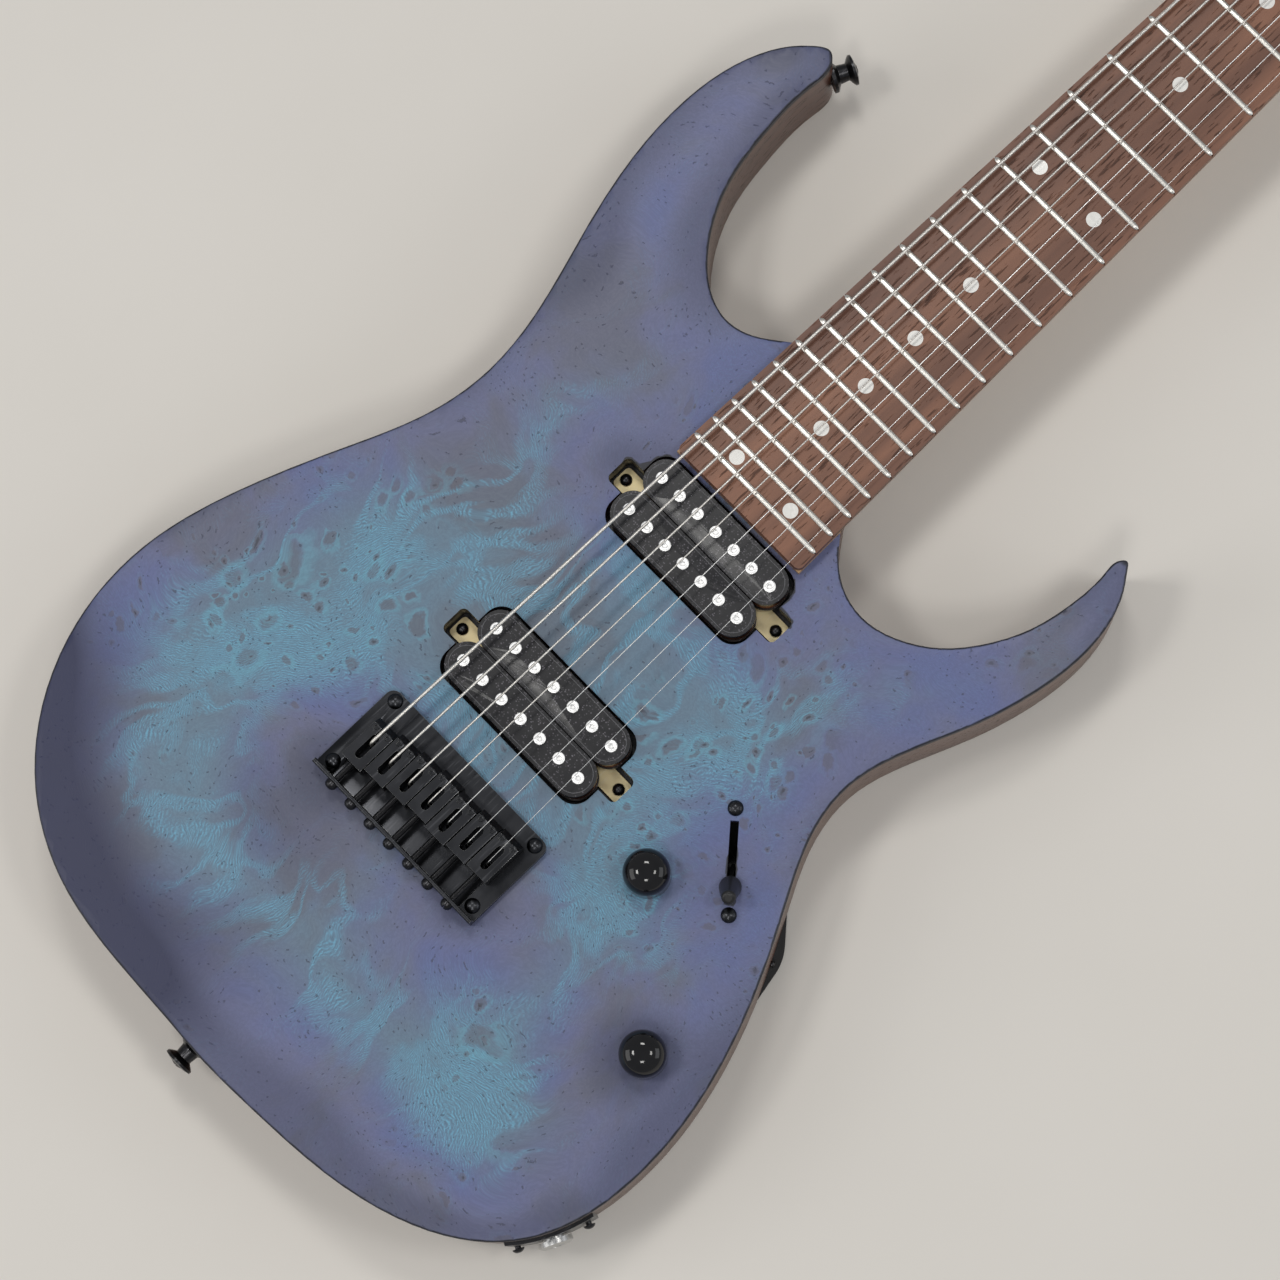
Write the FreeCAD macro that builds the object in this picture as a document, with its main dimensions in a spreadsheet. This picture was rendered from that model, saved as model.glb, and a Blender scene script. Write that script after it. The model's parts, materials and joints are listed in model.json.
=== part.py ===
import FreeCAD, Part, Sketcher
import math
import os
import re
from types import SimpleNamespace

from FreeCAD import Placement, Rotation, Vector

# Seven-string solid-body electric guitar, lying on its back, millimetres.
# +X runs along the neck to the headstock, +Y is the side of the lowest string,
# +Z comes out of the top.  The origin is on the back, under the saddle line.

DOC = FreeCAD.newDocument("Guitar")
SHEET = DOC.addObject("Spreadsheet::Sheet", "Sizes")

DRIVING_SIZES = [
    ("scale_long", 648.0, "saddle line to nut"),
    ("string_pitch", 10.8, "string spacing at the bridge"),
    ("nut_pitch", 6.85, "string spacing at the nut"),
    ("nut_wide", 48.0, "nut and fretboard width at the nut"),
    ("nut_thick", 5.0, "nut along the neck"),
    ("board_last_wide", 68.0, "fretboard width at the last fret"),
    ("board_thick", 6.0, "fretboard at its middle"),
    ("board_proud", 9.0, "fretboard top above the body top"),
    ("board_past", 9.5, "fretboard beyond the last fret"),
    ("board_round", 400.0, "radius of the fretboard across the strings"),
    ("fret_wide", 2.6, "fret crown along the neck"),
    ("fret_tall", 1.1, "fret crown height"),
    ("tang_wide", 0.6, "fret tang along the neck"),
    ("tang_deep", 1.9, "fret tang depth"),
    ("dot_wide", 6.2, "fretboard dot"),
    ("neck_thick_nut", 13.5, "neck wood at the nut"),
    ("neck_thick_body", 15.5, "neck wood near the heel"),
    ("heel_thick", 19.0, "neck wood in the pocket"),
    ("body_thick", 45.0, "body from back to top"),
    ("cap_thick", 4.0, "figured top plate"),
    ("top_soft", 0.8, "round on the top edge"),
    ("back_soft", 2.0, "round on the back edge"),
    ("head_tilt", 8.0, "headstock tilt in degrees"),
    ("head_thick", 14.0, "headstock"),
    ("head_long", 172.0, "headstock past the nut"),
    ("post_pitch", 36.0, "tuner to tuner on one side"),
    ("post_radius", 3.0, "string post"),
    ("turn_gap", 0.05, "running clearance of shafts and slides"),
    ("bobbin_wide", 17.5, "one pickup bobbin along the neck"),
    ("bobbin_tall", 18.0, "pickup from its base to the bobbin tops"),
    ("row_gap", 17.9, "between the two pole rows"),
    ("neck_pole_pitch", 10.1, "pole spacing of the neck pickup"),
    ("bobbin_past", 6.6, "bobbin beyond its outer poles"),
    ("pickup_deep", 13.0, "pickup pocket below the body top"),
    ("pocket_gap", 1.5, "pickup pocket around the bobbins"),
    ("ear_out", 5.6, "pickup ear screw beyond the bobbin end"),
    ("bridge_pickup_at", 43.7, "bridge pickup from the saddle line"),
    ("neck_pickup_back", 20.9, "neck pickup behind the fretboard end"),
    ("base_thick", 1.5, "pickup baseplate"),
    ("plate_front", 8.2, "bridge plate ahead of the saddle line"),
    ("plate_back", 34.9, "bridge plate behind the saddle line"),
    ("plate_side", 11.9, "bridge plate beyond the outer strings"),
    ("plate_thick", 3.2, "bridge plate"),
    ("well_deep", 1.4, "sunk floor of the bridge plate"),
    ("lip_thick", 2.0, "raised back lip of the bridge plate"),
    ("lip_tall", 9.0, "lip above the body top"),
    ("saddle_long", 20.3, "saddle"),
    ("saddle_gap", 0.4, "between two saddles"),
    ("slot_wide", 3.4, "string slot of a saddle"),
    ("string_rise", 13.0, "string above the body top at the bridge"),
    ("string_hole_at", 14.0, "string holes behind the saddle line"),
    ("tune_screw", 1.5, "radius of an intonation screw"),
    ("knob_wide", 19.0, "control knob"),
    ("knob_tall", 16.0, "control knob"),
    ("pot_wide", 24.0, "potentiometer case"),
    ("shaft_radius", 3.0, "potentiometer shaft"),
    ("ceiling_thick", 6.0, "wood left over the control cavity"),
    ("cavity_reach", 15.0, "control cavity around the hardware"),
    ("cover_ledge", 7.0, "control cover past the cavity"),
    ("cover_thick", 2.4, "control cover"),
    ("cover_sunk", 1.9, "control cover below the back, for its screw heads"),
    ("selector_long", 41.7, "between the selector screws"),
    ("lever_tilt", 22.5, "selector lever from upright in degrees"),
    ("plug_radius", 3.2, "bore for the cable plug"),
]
for row, (alias, value, note) in enumerate(DRIVING_SIZES, start=1):
    SHEET.set(f"A{row}", note)
    SHEET.set(f"B{row}", str(value))
    SHEET.setAlias(f"B{row}", alias)
DOC.recompute()
S = SimpleNamespace(**{alias: float(SHEET.get(alias)) for alias, _, _ in DRIVING_SIZES})

# String diameters from the lowest string to the highest.
STRING_SIZES = [1.50, 1.17, 0.91, 0.66, 0.43, 0.33, 0.25]
STRINGS = len(STRING_SIZES)
# Saddle backs behind the saddle line: thick strings need more length.
SADDLE_BACKS = [24.5, 22.6, 21.3, 20.1, 21.1, 20.1, 19.5]
FRETS = 24
SINGLE_DOTS = [3, 5, 7, 9, 15, 17, 19, 21]
DOUBLE_DOTS = [12, 24]

LAST_FRET = S.scale_long * (1 - 2 ** (-FRETS / 12))
LAST_FRET_X = S.scale_long - LAST_FRET
BOARD_END_X = LAST_FRET_X - S.board_past
BOARD_TOP = S.body_thick + S.board_proud
BOARD_BOTTOM = BOARD_TOP - S.board_thick
HEEL_BOTTOM = BOARD_BOTTOM - S.heel_thick
CORE_TOP = S.body_thick - S.cap_thick
CEILING = S.body_thick - S.ceiling_thick
PICKUP_FLOOR = S.body_thick - S.pickup_deep
PLATE_TOP = S.body_thick + S.plate_thick
NUT_BACK_X = S.scale_long + S.nut_thick
NECK_PICKUP_X = BOARD_END_X - S.neck_pickup_back

UP = Vector(0, 0, 1)
ALONG = Vector(1, 0, 0)
ACROSS = Vector(0, 1, 0)
HEAD_TURN = Rotation(ACROSS, S.head_tilt)
HEAD_PLACE = Placement(Vector(NUT_BACK_X, 0, BOARD_BOTTOM), HEAD_TURN)
PIECES = []


# ---- how a piece is bound to the sheet ----

def formula(text):
    """Point every alias in an expression at the sheet."""
    aliases = "|".join(alias for alias, _, _ in DRIVING_SIZES)
    return re.sub(rf"\b({aliases})\b", r"Sizes.\1", text)


def bind(thing, **expressions):
    """Bind properties; Base_x stands for Placement.Base.x."""
    for name, text in expressions.items():
        path = name.replace("Base_", "Placement.Base.")
        thing.setExpression(path, formula(text))
    return thing


def block(name, **expressions):
    return bind(DOC.addObject("Part::Box", name), **expressions)


def rod(name, turn=None, kind="Part::Cylinder", **expressions):
    bar = DOC.addObject(kind, name)
    if turn:
        bar.Placement = Placement(Vector(), turn)
    return bind(bar, **expressions)


def joined(name, parts):
    fuse = DOC.addObject("Part::MultiFuse", name)
    fuse.Shapes = parts
    fuse.Refine = True
    return fuse


def cut(name, base, tools):
    result = DOC.addObject("Part::Cut", name)
    result.Base = base
    result.Tool = tools[0] if len(tools) == 1 else joined(name + "_tools", tools)
    return result


def shaped(name, shape, place=None):
    """A feature whose shape comes from Part's own functions."""
    feature = DOC.addObject("Part::Feature", name)
    feature.Shape = shape
    if place:
        feature.Placement = place
    return feature


def piece(thing, label):
    thing.Label = label
    PIECES.append(thing)
    return thing


def group(label, solids, place=None):
    """Separate solids that share one node."""
    return piece(shaped(label, Part.makeCompound(solids), place), label)


def body(name):
    return DOC.addObject("PartDesign::Body", name)


def sketch_on(owner, name, role):
    sketch = owner.newObject("Sketcher::SketchObject", name)
    plane = [item for item in owner.Origin.OriginFeatures if item.Role == role][0]
    sketch.AttachmentSupport = [(plane, "")]
    sketch.MapMode = "FlatFace"
    return sketch


def draw_corners(sketch, corners):
    """Straight-sided outline; each corner is a pair of expressions."""
    sides = len(corners)
    for number in range(sides):
        start = Vector(number, number * number, 0)
        end = Vector(number + 1, (number + 1) ** 2, 0)
        sketch.addGeometry(Part.LineSegment(start, end), False)
    for number, (across, up) in enumerate(corners):
        previous = (number - 1) % sides
        sketch.addConstraint(Sketcher.Constraint("Coincident", previous, 2, number, 1))
        place_point(sketch, number, "DistanceX", across)
        place_point(sketch, number, "DistanceY", up)


def place_point(sketch, line, kind, text):
    if text == "0":
        axis = -2 if kind == "DistanceX" else -1
        sketch.addConstraint(Sketcher.Constraint("PointOnObject", line, 1, axis))
        return
    index = sketch.addConstraint(Sketcher.Constraint(kind, -1, 1, line, 1, 1.0))
    sketch.setExpression(f"Constraints[{index}]", formula(text))


def padded(name, corners, depth):
    """A body padded upwards from one straight-sided outline."""
    owner = body(name)
    sketch = sketch_on(owner, name + "_outline", "XY_Plane")
    draw_corners(sketch, corners)
    pad = owner.newObject("PartDesign::Pad", name + "_pad")
    pad.Profile = sketch
    pad.setExpression("Length", formula(depth))
    return owner


def turned(name, corners):
    """A body revolved about its own Z axis from half its section."""
    owner = body(name)
    sketch = sketch_on(owner, name + "_section", "XZ_Plane")
    draw_corners(sketch, corners)
    turning = owner.newObject("PartDesign::Revolution", name + "_turning")
    turning.Profile = sketch
    turning.ReferenceAxis = (sketch, ["V_Axis"])
    turning.Angle = 360
    return owner


def softened(name, base, radius, chosen):
    """A rounded copy of a body; 'chosen' picks the edges."""
    DOC.recompute()
    fillet = DOC.addObject("Part::Fillet", name)
    fillet.Base = base
    fillet.Edges = [(number, radius, radius)
                    for number, edge in enumerate(base.Shape.Edges, start=1) if chosen(edge)]
    return fillet


# ---- plain shapes used by several pieces ----

def cylinder(radius, height, at, axis=UP):
    return Part.makeCylinder(radius, height, Vector(*at), axis)


def cuboid(low, high):
    size = Vector(*high) - Vector(*low)
    return Part.makeBox(size.x, size.y, size.z, Vector(*low))


def flat_face(points):
    corners = [Vector(x, y, 0) for x, y in points]
    return Part.Face(Part.makePolygon(corners + corners[:1]))


def grown(points, reach):
    """A straight-sided outline grown outwards with round corners."""
    return flat_face(points).makeOffset2D(reach)


def slab(face, low, high):
    """A flat face made solid between two heights."""
    solid = face.extrude(Vector(0, 0, high - low))
    solid.translate(Vector(0, 0, low))
    return solid


def rounded_bar(wide, long, corner):
    """Face of a bar across the strings, centred, with round corners."""
    half_x = wide / 2 - corner
    half_y = long / 2 - corner
    core = [(-half_x, -half_y), (half_x, -half_y), (half_x, half_y), (-half_x, half_y)]
    return grown(core, corner)


def smooth_loop(corners, knots):
    """One closed smooth curve through the corners."""
    curve = Part.BSplineCurve()
    curve.interpolate(Points=corners, Parameters=knots, PeriodicFlag=True)
    return curve


def soft_slab(corners, levels):
    """A smooth outline made solid, drawn in a little at each given height.

    The inset is less where the outline turns tightly, as at the horn tips.
    """
    knots = [0.0]
    for here, there in zip(corners, corners[1:] + corners[:1]):
        knots.append(knots[-1] + (there - here).Length)
    outline = smooth_loop(corners, knots)
    wires = []
    for height, inset in levels:
        moved = []
        for corner, knot in zip(corners, knots):
            tightest = TIP_SHARE / max(outline.curvature(knot), 1e-6)
            inward = Vector(*outline.tangent(knot)[0]).cross(UP).normalize()
            moved.append(corner + inward * min(inset, tightest) + UP * height)
        wires.append(Part.Wire(smooth_loop(moved, knots).toShape()))
    return Part.makeLoft(wires, True, True)


def route(points, bends):
    """Edges of a lead's path: straight runs joined by tangent arcs."""
    corners = [Vector(*point) for point in points]
    edges = []
    start = corners[0]
    for before, corner, after, bend in zip(corners, corners[1:], corners[2:], bends):
        inward = (before - corner).normalize()
        outward = (after - corner).normalize()
        half_turn = (math.pi - inward.getAngle(outward)) / 2
        setback = bend * math.tan(half_turn)
        bisector = (inward + outward).normalize()
        centre = corner + bisector * (bend / math.cos(half_turn))
        enter = corner + inward * setback
        leave = corner + outward * setback
        middle = centre + (corner - centre).normalize() * bend
        edges.append(Part.LineSegment(start, enter).toShape())
        edges.append(Part.Arc(enter, middle, leave).toShape())
        start = leave
    edges.append(Part.LineSegment(start, corners[-1]).toShape())
    return edges


def swept(edges, radius):
    path = Part.Wire(edges)
    start = path.OrderedVertexes[0].Point
    ahead = edges[0].tangentAt(edges[0].FirstParameter)
    ring = Part.Wire(Part.makeCircle(radius, start, ahead))
    return path.makePipeShell([ring], True, False)


def fret_line(number):
    return S.scale_long * 2 ** (-number / 12)


def board_half(x):
    """Half the fretboard's width at a place along the neck."""
    growth = (S.board_last_wide - S.nut_wide) / 2 / LAST_FRET
    return S.nut_wide / 2 + (S.scale_long - x) * growth


def string_y(number, x):
    """Sideways place of a string, 0 being the lowest string."""
    rank = (STRINGS - 1) / 2 - number
    share = x / S.scale_long
    return rank * (S.string_pitch + (S.nut_pitch - S.string_pitch) * share)


def saddle_y(number):
    """Sideways place of a saddle and its intonation screw."""
    return string_y(number, -SADDLE_BACKS[number] / 2)


def crown_drop(y):
    """How far the arched fretboard has fallen at a sideways place."""
    return S.board_round - math.sqrt(S.board_round ** 2 - y ** 2)


# ---- body outline ----

def body_points():
    """Points of the body's edge, from the tail round the low-string side.

    The front ones are measured from the last fret, so that the horns and
    the neck joint stay together when the scale changes.
    """
    low_bout = [(-145, 0), (-143.3, 40), (-137.6, 80), (-120, 114.7), (-92, 139.3),
                (-60, 152.4), (-25, 155.2), (20, 144.6), (60, 128.4), (93, 115.3),
                (122, 110.9)]
    low_horn = [(-12, 114.1), (28, 125.6), (63, 133.8), (90, 135.9), (116, 132.7),
                (135, 124.7), (145.4, 115.6), (148.5, 109.2), (145, 105.3), (133, 104.6),
                (108, 104), (83, 99.5), (60, 87.8), (45.5, 72), (41.8, 60), (44.5, 48),
                (52.8, 36)]
    heel = [(60.5, 22), (57, 3), (41, -15), (23, -27), (11, -36)]
    high_horn = [(2, -45.5), (-3.2, -58), (-3, -70), (1.5, -82), (10, -94),
                 (22, -103.8), (40, -112.8), (60, -117), (76, -117.3), (84.2, -118),
                 (85.8, -120), (83.6, -122.5), (75, -128.3), (62, -132.9), (47, -134.4),
                 (26, -132.2), (0, -125), (-26, -114.5)]
    high_bout = [(108, -107.3), (85, -110.8), (60, -122.6), (30, -138), (0, -149.7),
                 (-30, -156.8), (-57, -158.4), (-83, -154.6), (-104, -144.8),
                 (-121, -127.6), (-133.8, -102), (-141, -72), (-144.3, -36)]
    front = [(LAST_FRET_X + x, y) for x, y in low_horn + heel + high_horn]
    return [Vector(x, y, 0) for x, y in low_bout + front + high_bout]


TIP_SHARE = 0.5
PLAIN_BODY = soft_slab(body_points(), [(0, 0), (S.body_thick, 0)])


def skin_point(inside, out):
    """Where a straight line from inside the wood comes out of its edge."""
    line = Part.LineSegment(inside, inside + out * 80).toShape()
    return inside + out * line.common(PLAIN_BODY).Length


# ---- where the controls sit ----

VOLUME = Vector(28.2, -77.8, 0)
TONE = Vector(-21.2, -126.9, 0)
SELECTOR = Vector(55.2, -97.0, 0)
SLOT_LINE = Vector(0.741, 0.671, 0).normalize()
SLOT_SIDE = Vector(-SLOT_LINE.y, SLOT_LINE.x, 0)
JACK_OUT = Vector(-0.42, -0.91, 0).normalize()
JACK = skin_point(Vector(-93.8, -149.4, S.body_thick / 2) - JACK_OUT * 20, JACK_OUT)
# Straight through the controls; the cavity and its cover are grown from it.
CONTROL_CORNERS = [(VOLUME.x, VOLUME.y)]
for share in (0.5, -0.5):
    corner = SELECTOR + SLOT_LINE * (S.selector_long + 14) * share
    CONTROL_CORNERS.append((corner.x, corner.y))
CONTROL_CORNERS.append((TONE.x, TONE.y))
NUT_WIDE = 14.0
NUT_TALL = 2.2
BUSHING = 4.75

# Screws: radius of the shank, radius of the head, length under the head.
BRIDGE_SCREW = (1.5, 3.1, 22.0)
SELECTOR_SCREW = (1.5, 3.1, S.ceiling_thick + 1)
COVER_SCREW = (1.2, 2.6, 9.5)
TRUSS_SCREW = (1.2, 2.4, 8.0)
TUNER_SCREW = (1.2, 2.2, 8.0)
JACK_SCREW = (1.2, 2.4, 10.0)
EAR_SCREW = (1.45, 2.4, 16.0)
STRAP_SCREW = (2.0, 4.0, 32.0)
HOLE_PLAY = 0.05


def pole_row(pitch):
    """Sideways places of one row of poles, under the strings."""
    return [((STRINGS - 1) / 2 - number) * pitch for number in range(STRINGS)]


def bobbin_long(pitch):
    return (STRINGS - 1) * pitch + 2 * S.bobbin_past


def ear_y(pitch):
    return bobbin_long(pitch) / 2 + S.ear_out


PICKUPS = {
    "bridge": (S.bridge_pickup_at, S.string_pitch),
    "neck": (NECK_PICKUP_X, S.neck_pole_pitch),
}
EAR_WIDE = 9.5
EAR_PAST = 3.4
EAR_CORNER = 1.8
POCKET_CORNER = 8.0
EAR_POCKET_CORNER = 2.5
LEAD = 1.4
LEAD_BORE = 3.0
LEAD_WELL = 3.5
CHANNEL_Z = PICKUP_FLOOR - 7
LEAD_WELLS = {"bridge": (52.0, -30.0), "neck": (NECK_PICKUP_X - 12, -28.0)}
CHANNEL_ENDS = {"bridge": (44.0, -76.0), "neck": (62.0, -74.0)}
NECK_SCREWS = [(11, 21), (11, -21), (36, 21), (27, -11)]
NECK_SCREW = 2.2
FERRULE = 7.0
STRAP_BASE = 6.8
STRAP_SUNK = 0.6


def strap_places():
    """Seat centre and outward direction of each strap button."""
    places = []
    for inside, out in ((Vector(-120, 0, 0), Vector(-1, 0, 0)),
                        (Vector(LAST_FRET_X + 133, 112.5, 0), Vector(0.9, -0.43, 0))):
        out.normalize()
        inside.z = S.body_thick / 2
        places.append((skin_point(inside, out) - out * STRAP_SUNK, out))
    return places


# ---- hollows cut out of the body ----

def neck_pocket():
    near = BOARD_END_X
    far = LAST_FRET_X + 90
    corners = [(near, -board_half(near)), (far, -board_half(far)),
               (far, board_half(far)), (near, board_half(near))]
    return slab(flat_face(corners), HEEL_BOTTOM, BOARD_TOP)


def pickup_pocket(pickup_x, pitch):
    wide = S.row_gap + S.bobbin_wide + 2 * S.pocket_gap
    long = bobbin_long(pitch) + 2 * S.pocket_gap
    bar = slab(rounded_bar(wide, long, POCKET_CORNER), PICKUP_FLOOR, S.body_thick + 1)
    ears_long = 2 * (ear_y(pitch) + EAR_PAST + S.pocket_gap / 2)
    ears = slab(rounded_bar(EAR_WIDE + 2 * S.pocket_gap, ears_long, EAR_POCKET_CORNER),
                PICKUP_FLOOR, S.body_thick + 1)
    pocket = bar.fuse(ears)
    pocket.translate(Vector(pickup_x, 0, 0))
    return pocket


def lead_channel(name):
    well_x, well_y = LEAD_WELLS[name]
    end_x, end_y = CHANNEL_ENDS[name]
    start = Vector(well_x, well_y, CHANNEL_Z)
    run = Vector(end_x, end_y, CHANNEL_Z) - start
    well = cylinder(LEAD_WELL, PICKUP_FLOOR - CHANNEL_Z + 1, (well_x, well_y, CHANNEL_Z))
    drilled = cylinder(LEAD_BORE, run.Length, start, run)
    return well.fuse([drilled, Part.makeSphere(LEAD_WELL, start)])


def control_cavity():
    room = slab(grown(CONTROL_CORNERS, S.cavity_reach), -1, CEILING)
    ledge = slab(grown(CONTROL_CORNERS, S.cavity_reach + S.cover_ledge), -1,
                 S.cover_sunk + S.cover_thick)
    return room.fuse(ledge)


JACK_ROOM = 11.0
JACK_ROOM_DEEP = 42.0
JACK_PASSAGE = 4.0


def jack_room():
    inner = JACK - JACK_OUT * JACK_ROOM_DEEP
    room = cylinder(JACK_ROOM, JACK_ROOM_DEEP + 18, inner, JACK_OUT)
    mouth = JACK - JACK_OUT * 30
    reach = Vector(TONE.x, TONE.y, JACK.z) - mouth
    passage = cylinder(JACK_PASSAGE, reach.Length, mouth, reach)
    return room.fuse(passage)


def cover_screw_places():
    """Screws in the middle of the control cover's ledge."""
    reach = S.cavity_reach + S.cover_ledge * 0.55
    middle = Vector(sum(x for x, _ in CONTROL_CORNERS) / 4,
                    sum(y for _, y in CONTROL_CORNERS) / 4, 0)
    places = []
    for x, y in CONTROL_CORNERS:
        corner = Vector(x, y, 0)
        places.append(corner + (corner - middle).normalize() * reach)
    for first, second in ((0, 3), (2, 3)):
        start = Vector(*CONTROL_CORNERS[first], 0)
        end = Vector(*CONTROL_CORNERS[second], 0)
        side = (end - start).cross(UP).normalize()
        if side.dot(start - middle) < 0:
            side = side * -1
        places.append((start + end) * 0.5 + side * reach)
    return places


def body_hollows():
    """Everything that is cut out of both the core and the top plate."""
    hollows = [neck_pocket(), control_cavity(), jack_room()]
    for name, (pickup_x, pitch) in PICKUPS.items():
        hollows.append(pickup_pocket(pickup_x, pitch))
        hollows.append(lead_channel(name))
        for side in (-1, 1):
            at = (pickup_x, side * ear_y(pitch), PICKUP_FLOOR - EAR_SCREW[2])
            hollows.append(cylinder(EAR_SCREW[0], EAR_SCREW[2] + 1, at))
    for control in (VOLUME, TONE):
        hollows.append(cylinder(BUSHING, 20, (control.x, control.y, CEILING - 1)))
    for number in range(STRINGS):
        at = (-S.string_hole_at, string_y(number, -S.string_hole_at), 0)
        hollows.append(cylinder(STRING_BORE, S.body_thick + 1, at))
        hollows.append(cylinder(FERRULE_BARREL, FERRULE_LONG, at))
        hollows.append(cylinder(FERRULE_RIM, FERRULE_FLANGE, at))
    for x, y in bridge_screw_places():
        hollows.append(cylinder(BRIDGE_SCREW[0], 22, (x, y, S.body_thick - 21)))
    slot = cuboid((-LEVER_ROOM, -LEVER_SLOT, CEILING - 1),
                  (LEVER_ROOM, LEVER_SLOT, S.body_thick + 1))
    slot.rotate(Vector(), UP, math.degrees(math.atan2(SLOT_LINE.y, SLOT_LINE.x)))
    slot.translate(SELECTOR)
    hollows.append(slot)
    for at in selector_screw_places():
        hollows.append(cylinder(SELECTOR_SCREW[0], 12, (at.x, at.y, CEILING - 1)))
    for x, y in NECK_SCREWS:
        at = (LAST_FRET_X + x, y, 0)
        hollows.append(cylinder(NECK_SCREW, HEEL_BOTTOM + 1, at))
        hollows.append(cylinder(FERRULE, FERRULE_SEAT, at))
    for at in cover_screw_places():
        hollows.append(cylinder(COVER_SCREW[0], 12, at))
    for seat, out in strap_places():
        hollows.append(cylinder(STRAP_SCREW[0], 26, seat - out * 25, out))
        hollows.append(cylinder(STRAP_BASE + 0.4, 12, seat, out))
    for at in jack_screw_places():
        hollows.append(cylinder(JACK_SCREW[0], 14, at - JACK_OUT * 12, JACK_OUT))
    return hollows


STRING_BORE = 1.5
FERRULE_LONG = 12.0
FERRULE_BARREL = 3.2
FERRULE_RIM = 4.4
FERRULE_FLANGE = 1.4
FERRULE_SEAT = 3.0
LEVER_ROOM = 16.0
LEVER_SLOT = 1.7
JACK_SCREW_REACH = 14.5


def bridge_screw_places():
    side = PLATE_SIDE - SCREW_INSET
    return [(x, y) for x in (S.plate_front - 3.7, 5.9 - S.plate_back)
            for y in (-side, side)]


def selector_screw_places():
    return [SELECTOR + SLOT_LINE * S.selector_long * share for share in (0.5, -0.5)]


def jack_screw_places():
    along = Vector(-JACK_OUT.y, JACK_OUT.x, 0)
    return [skin_point(JACK + along * reach - JACK_OUT * 20, JACK_OUT)
            for reach in (-JACK_SCREW_REACH, JACK_SCREW_REACH)]


def belly_cut():
    """The shallow scoop on the back, where the guitar meets the player."""
    return Part.makeSphere(350, Vector(75, 270, -306))


def heel_relief():
    """The back of the neck joint falls away towards the cutaways."""
    return Part.makeSphere(103, Vector(LAST_FRET_X + 85, -6, -90))


def make_body():
    hollows = body_hollows()
    outline = body_points()
    soft = S.back_soft
    core_levels = [(0, soft), (0.3 * soft, 0.3 * soft), (soft, 0), (CORE_TOP, 0)]
    core = soft_slab(outline, core_levels)
    core = core.cut([belly_cut(), heel_relief()] + hollows)
    piece(shaped("body_core", core), "body_core")
    soft = S.top_soft
    cap_levels = [(CORE_TOP, 0), (S.body_thick - soft, 0),
                  (S.body_thick - 0.3 * soft, 0.3 * soft), (S.body_thick, soft)]
    cap = soft_slab(outline, cap_levels)
    piece(shaped("top_cap", cap.cut(hollows)), "top_cap")


# ---- neck ----

def neck_section(x, depth, top=BOARD_BOTTOM, grow=0.0):
    """The rounded underside of the neck at one place, flat on top."""
    half = board_half(x) + grow
    left = Vector(x, -half, top)
    right = Vector(x, half, top)
    curve = Part.BSplineCurve()
    curve.interpolate([left, Vector(x, -half * 0.93, top - depth * 0.45),
                       Vector(x, -half * 0.55, top - depth * 0.9),
                       Vector(x, 0, top - depth),
                       Vector(x, half * 0.55, top - depth * 0.9),
                       Vector(x, half * 0.93, top - depth * 0.45), right])
    return Part.Wire([curve.toShape(), Part.LineSegment(right, left).toShape()])


def head_half(along):
    """Half the headstock's width: it narrows towards the tip."""
    return HEAD_HALF - HEAD_TAPER * (along - 38.0)


def head_face():
    """The headstock seen from above, starting behind the nut."""
    half = S.nut_wide / 2
    side = [Vector(-4, half, 0), Vector(6, half + 0.4, 0), Vector(18, half + 7, 0),
            Vector(32, 38, 0), Vector(46, 38.2, 0), Vector(90, head_half(90), 0),
            Vector(S.head_long - 18, head_half(S.head_long - 18), 0),
            Vector(S.head_long - 6, 19, 0), Vector(S.head_long, 0, 0)]
    other = [Vector(point.x, -point.y, 0) for point in reversed(side[:-1])]
    curve = Part.BSplineCurve()
    curve.interpolate(side + other)
    back = Part.LineSegment(other[-1], side[0])
    return Part.Face(Part.Wire([curve.toShape(), back.toShape()]))


def tuner_places():
    """Post centres on the headstock: (along, across, side), lowest string first."""
    places = []
    for number in range(4):
        along = 40 + number * S.post_pitch
        places.append((along, head_half(along) - POST_INSET, 1))
    for number in reversed(range(3)):
        along = 58 + number * S.post_pitch
        places.append((along, POST_INSET - head_half(along), -1))
    return places


BUSHING_OUT = S.post_radius + 1.9
HEAD_HALF = 39.0
HEAD_TAPER = 0.1
POST_INSET = 13.0
ROD_HALF = 3.1
COVER_LONG = 34.0
COVER_THIN = 1.8
ROD_ROOM_LONG = 24.0


def on_head(shape):
    """Move a shape drawn on the flat headstock face to its place."""
    shape.Placement = HEAD_PLACE.multiply(shape.Placement)
    return shape


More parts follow.
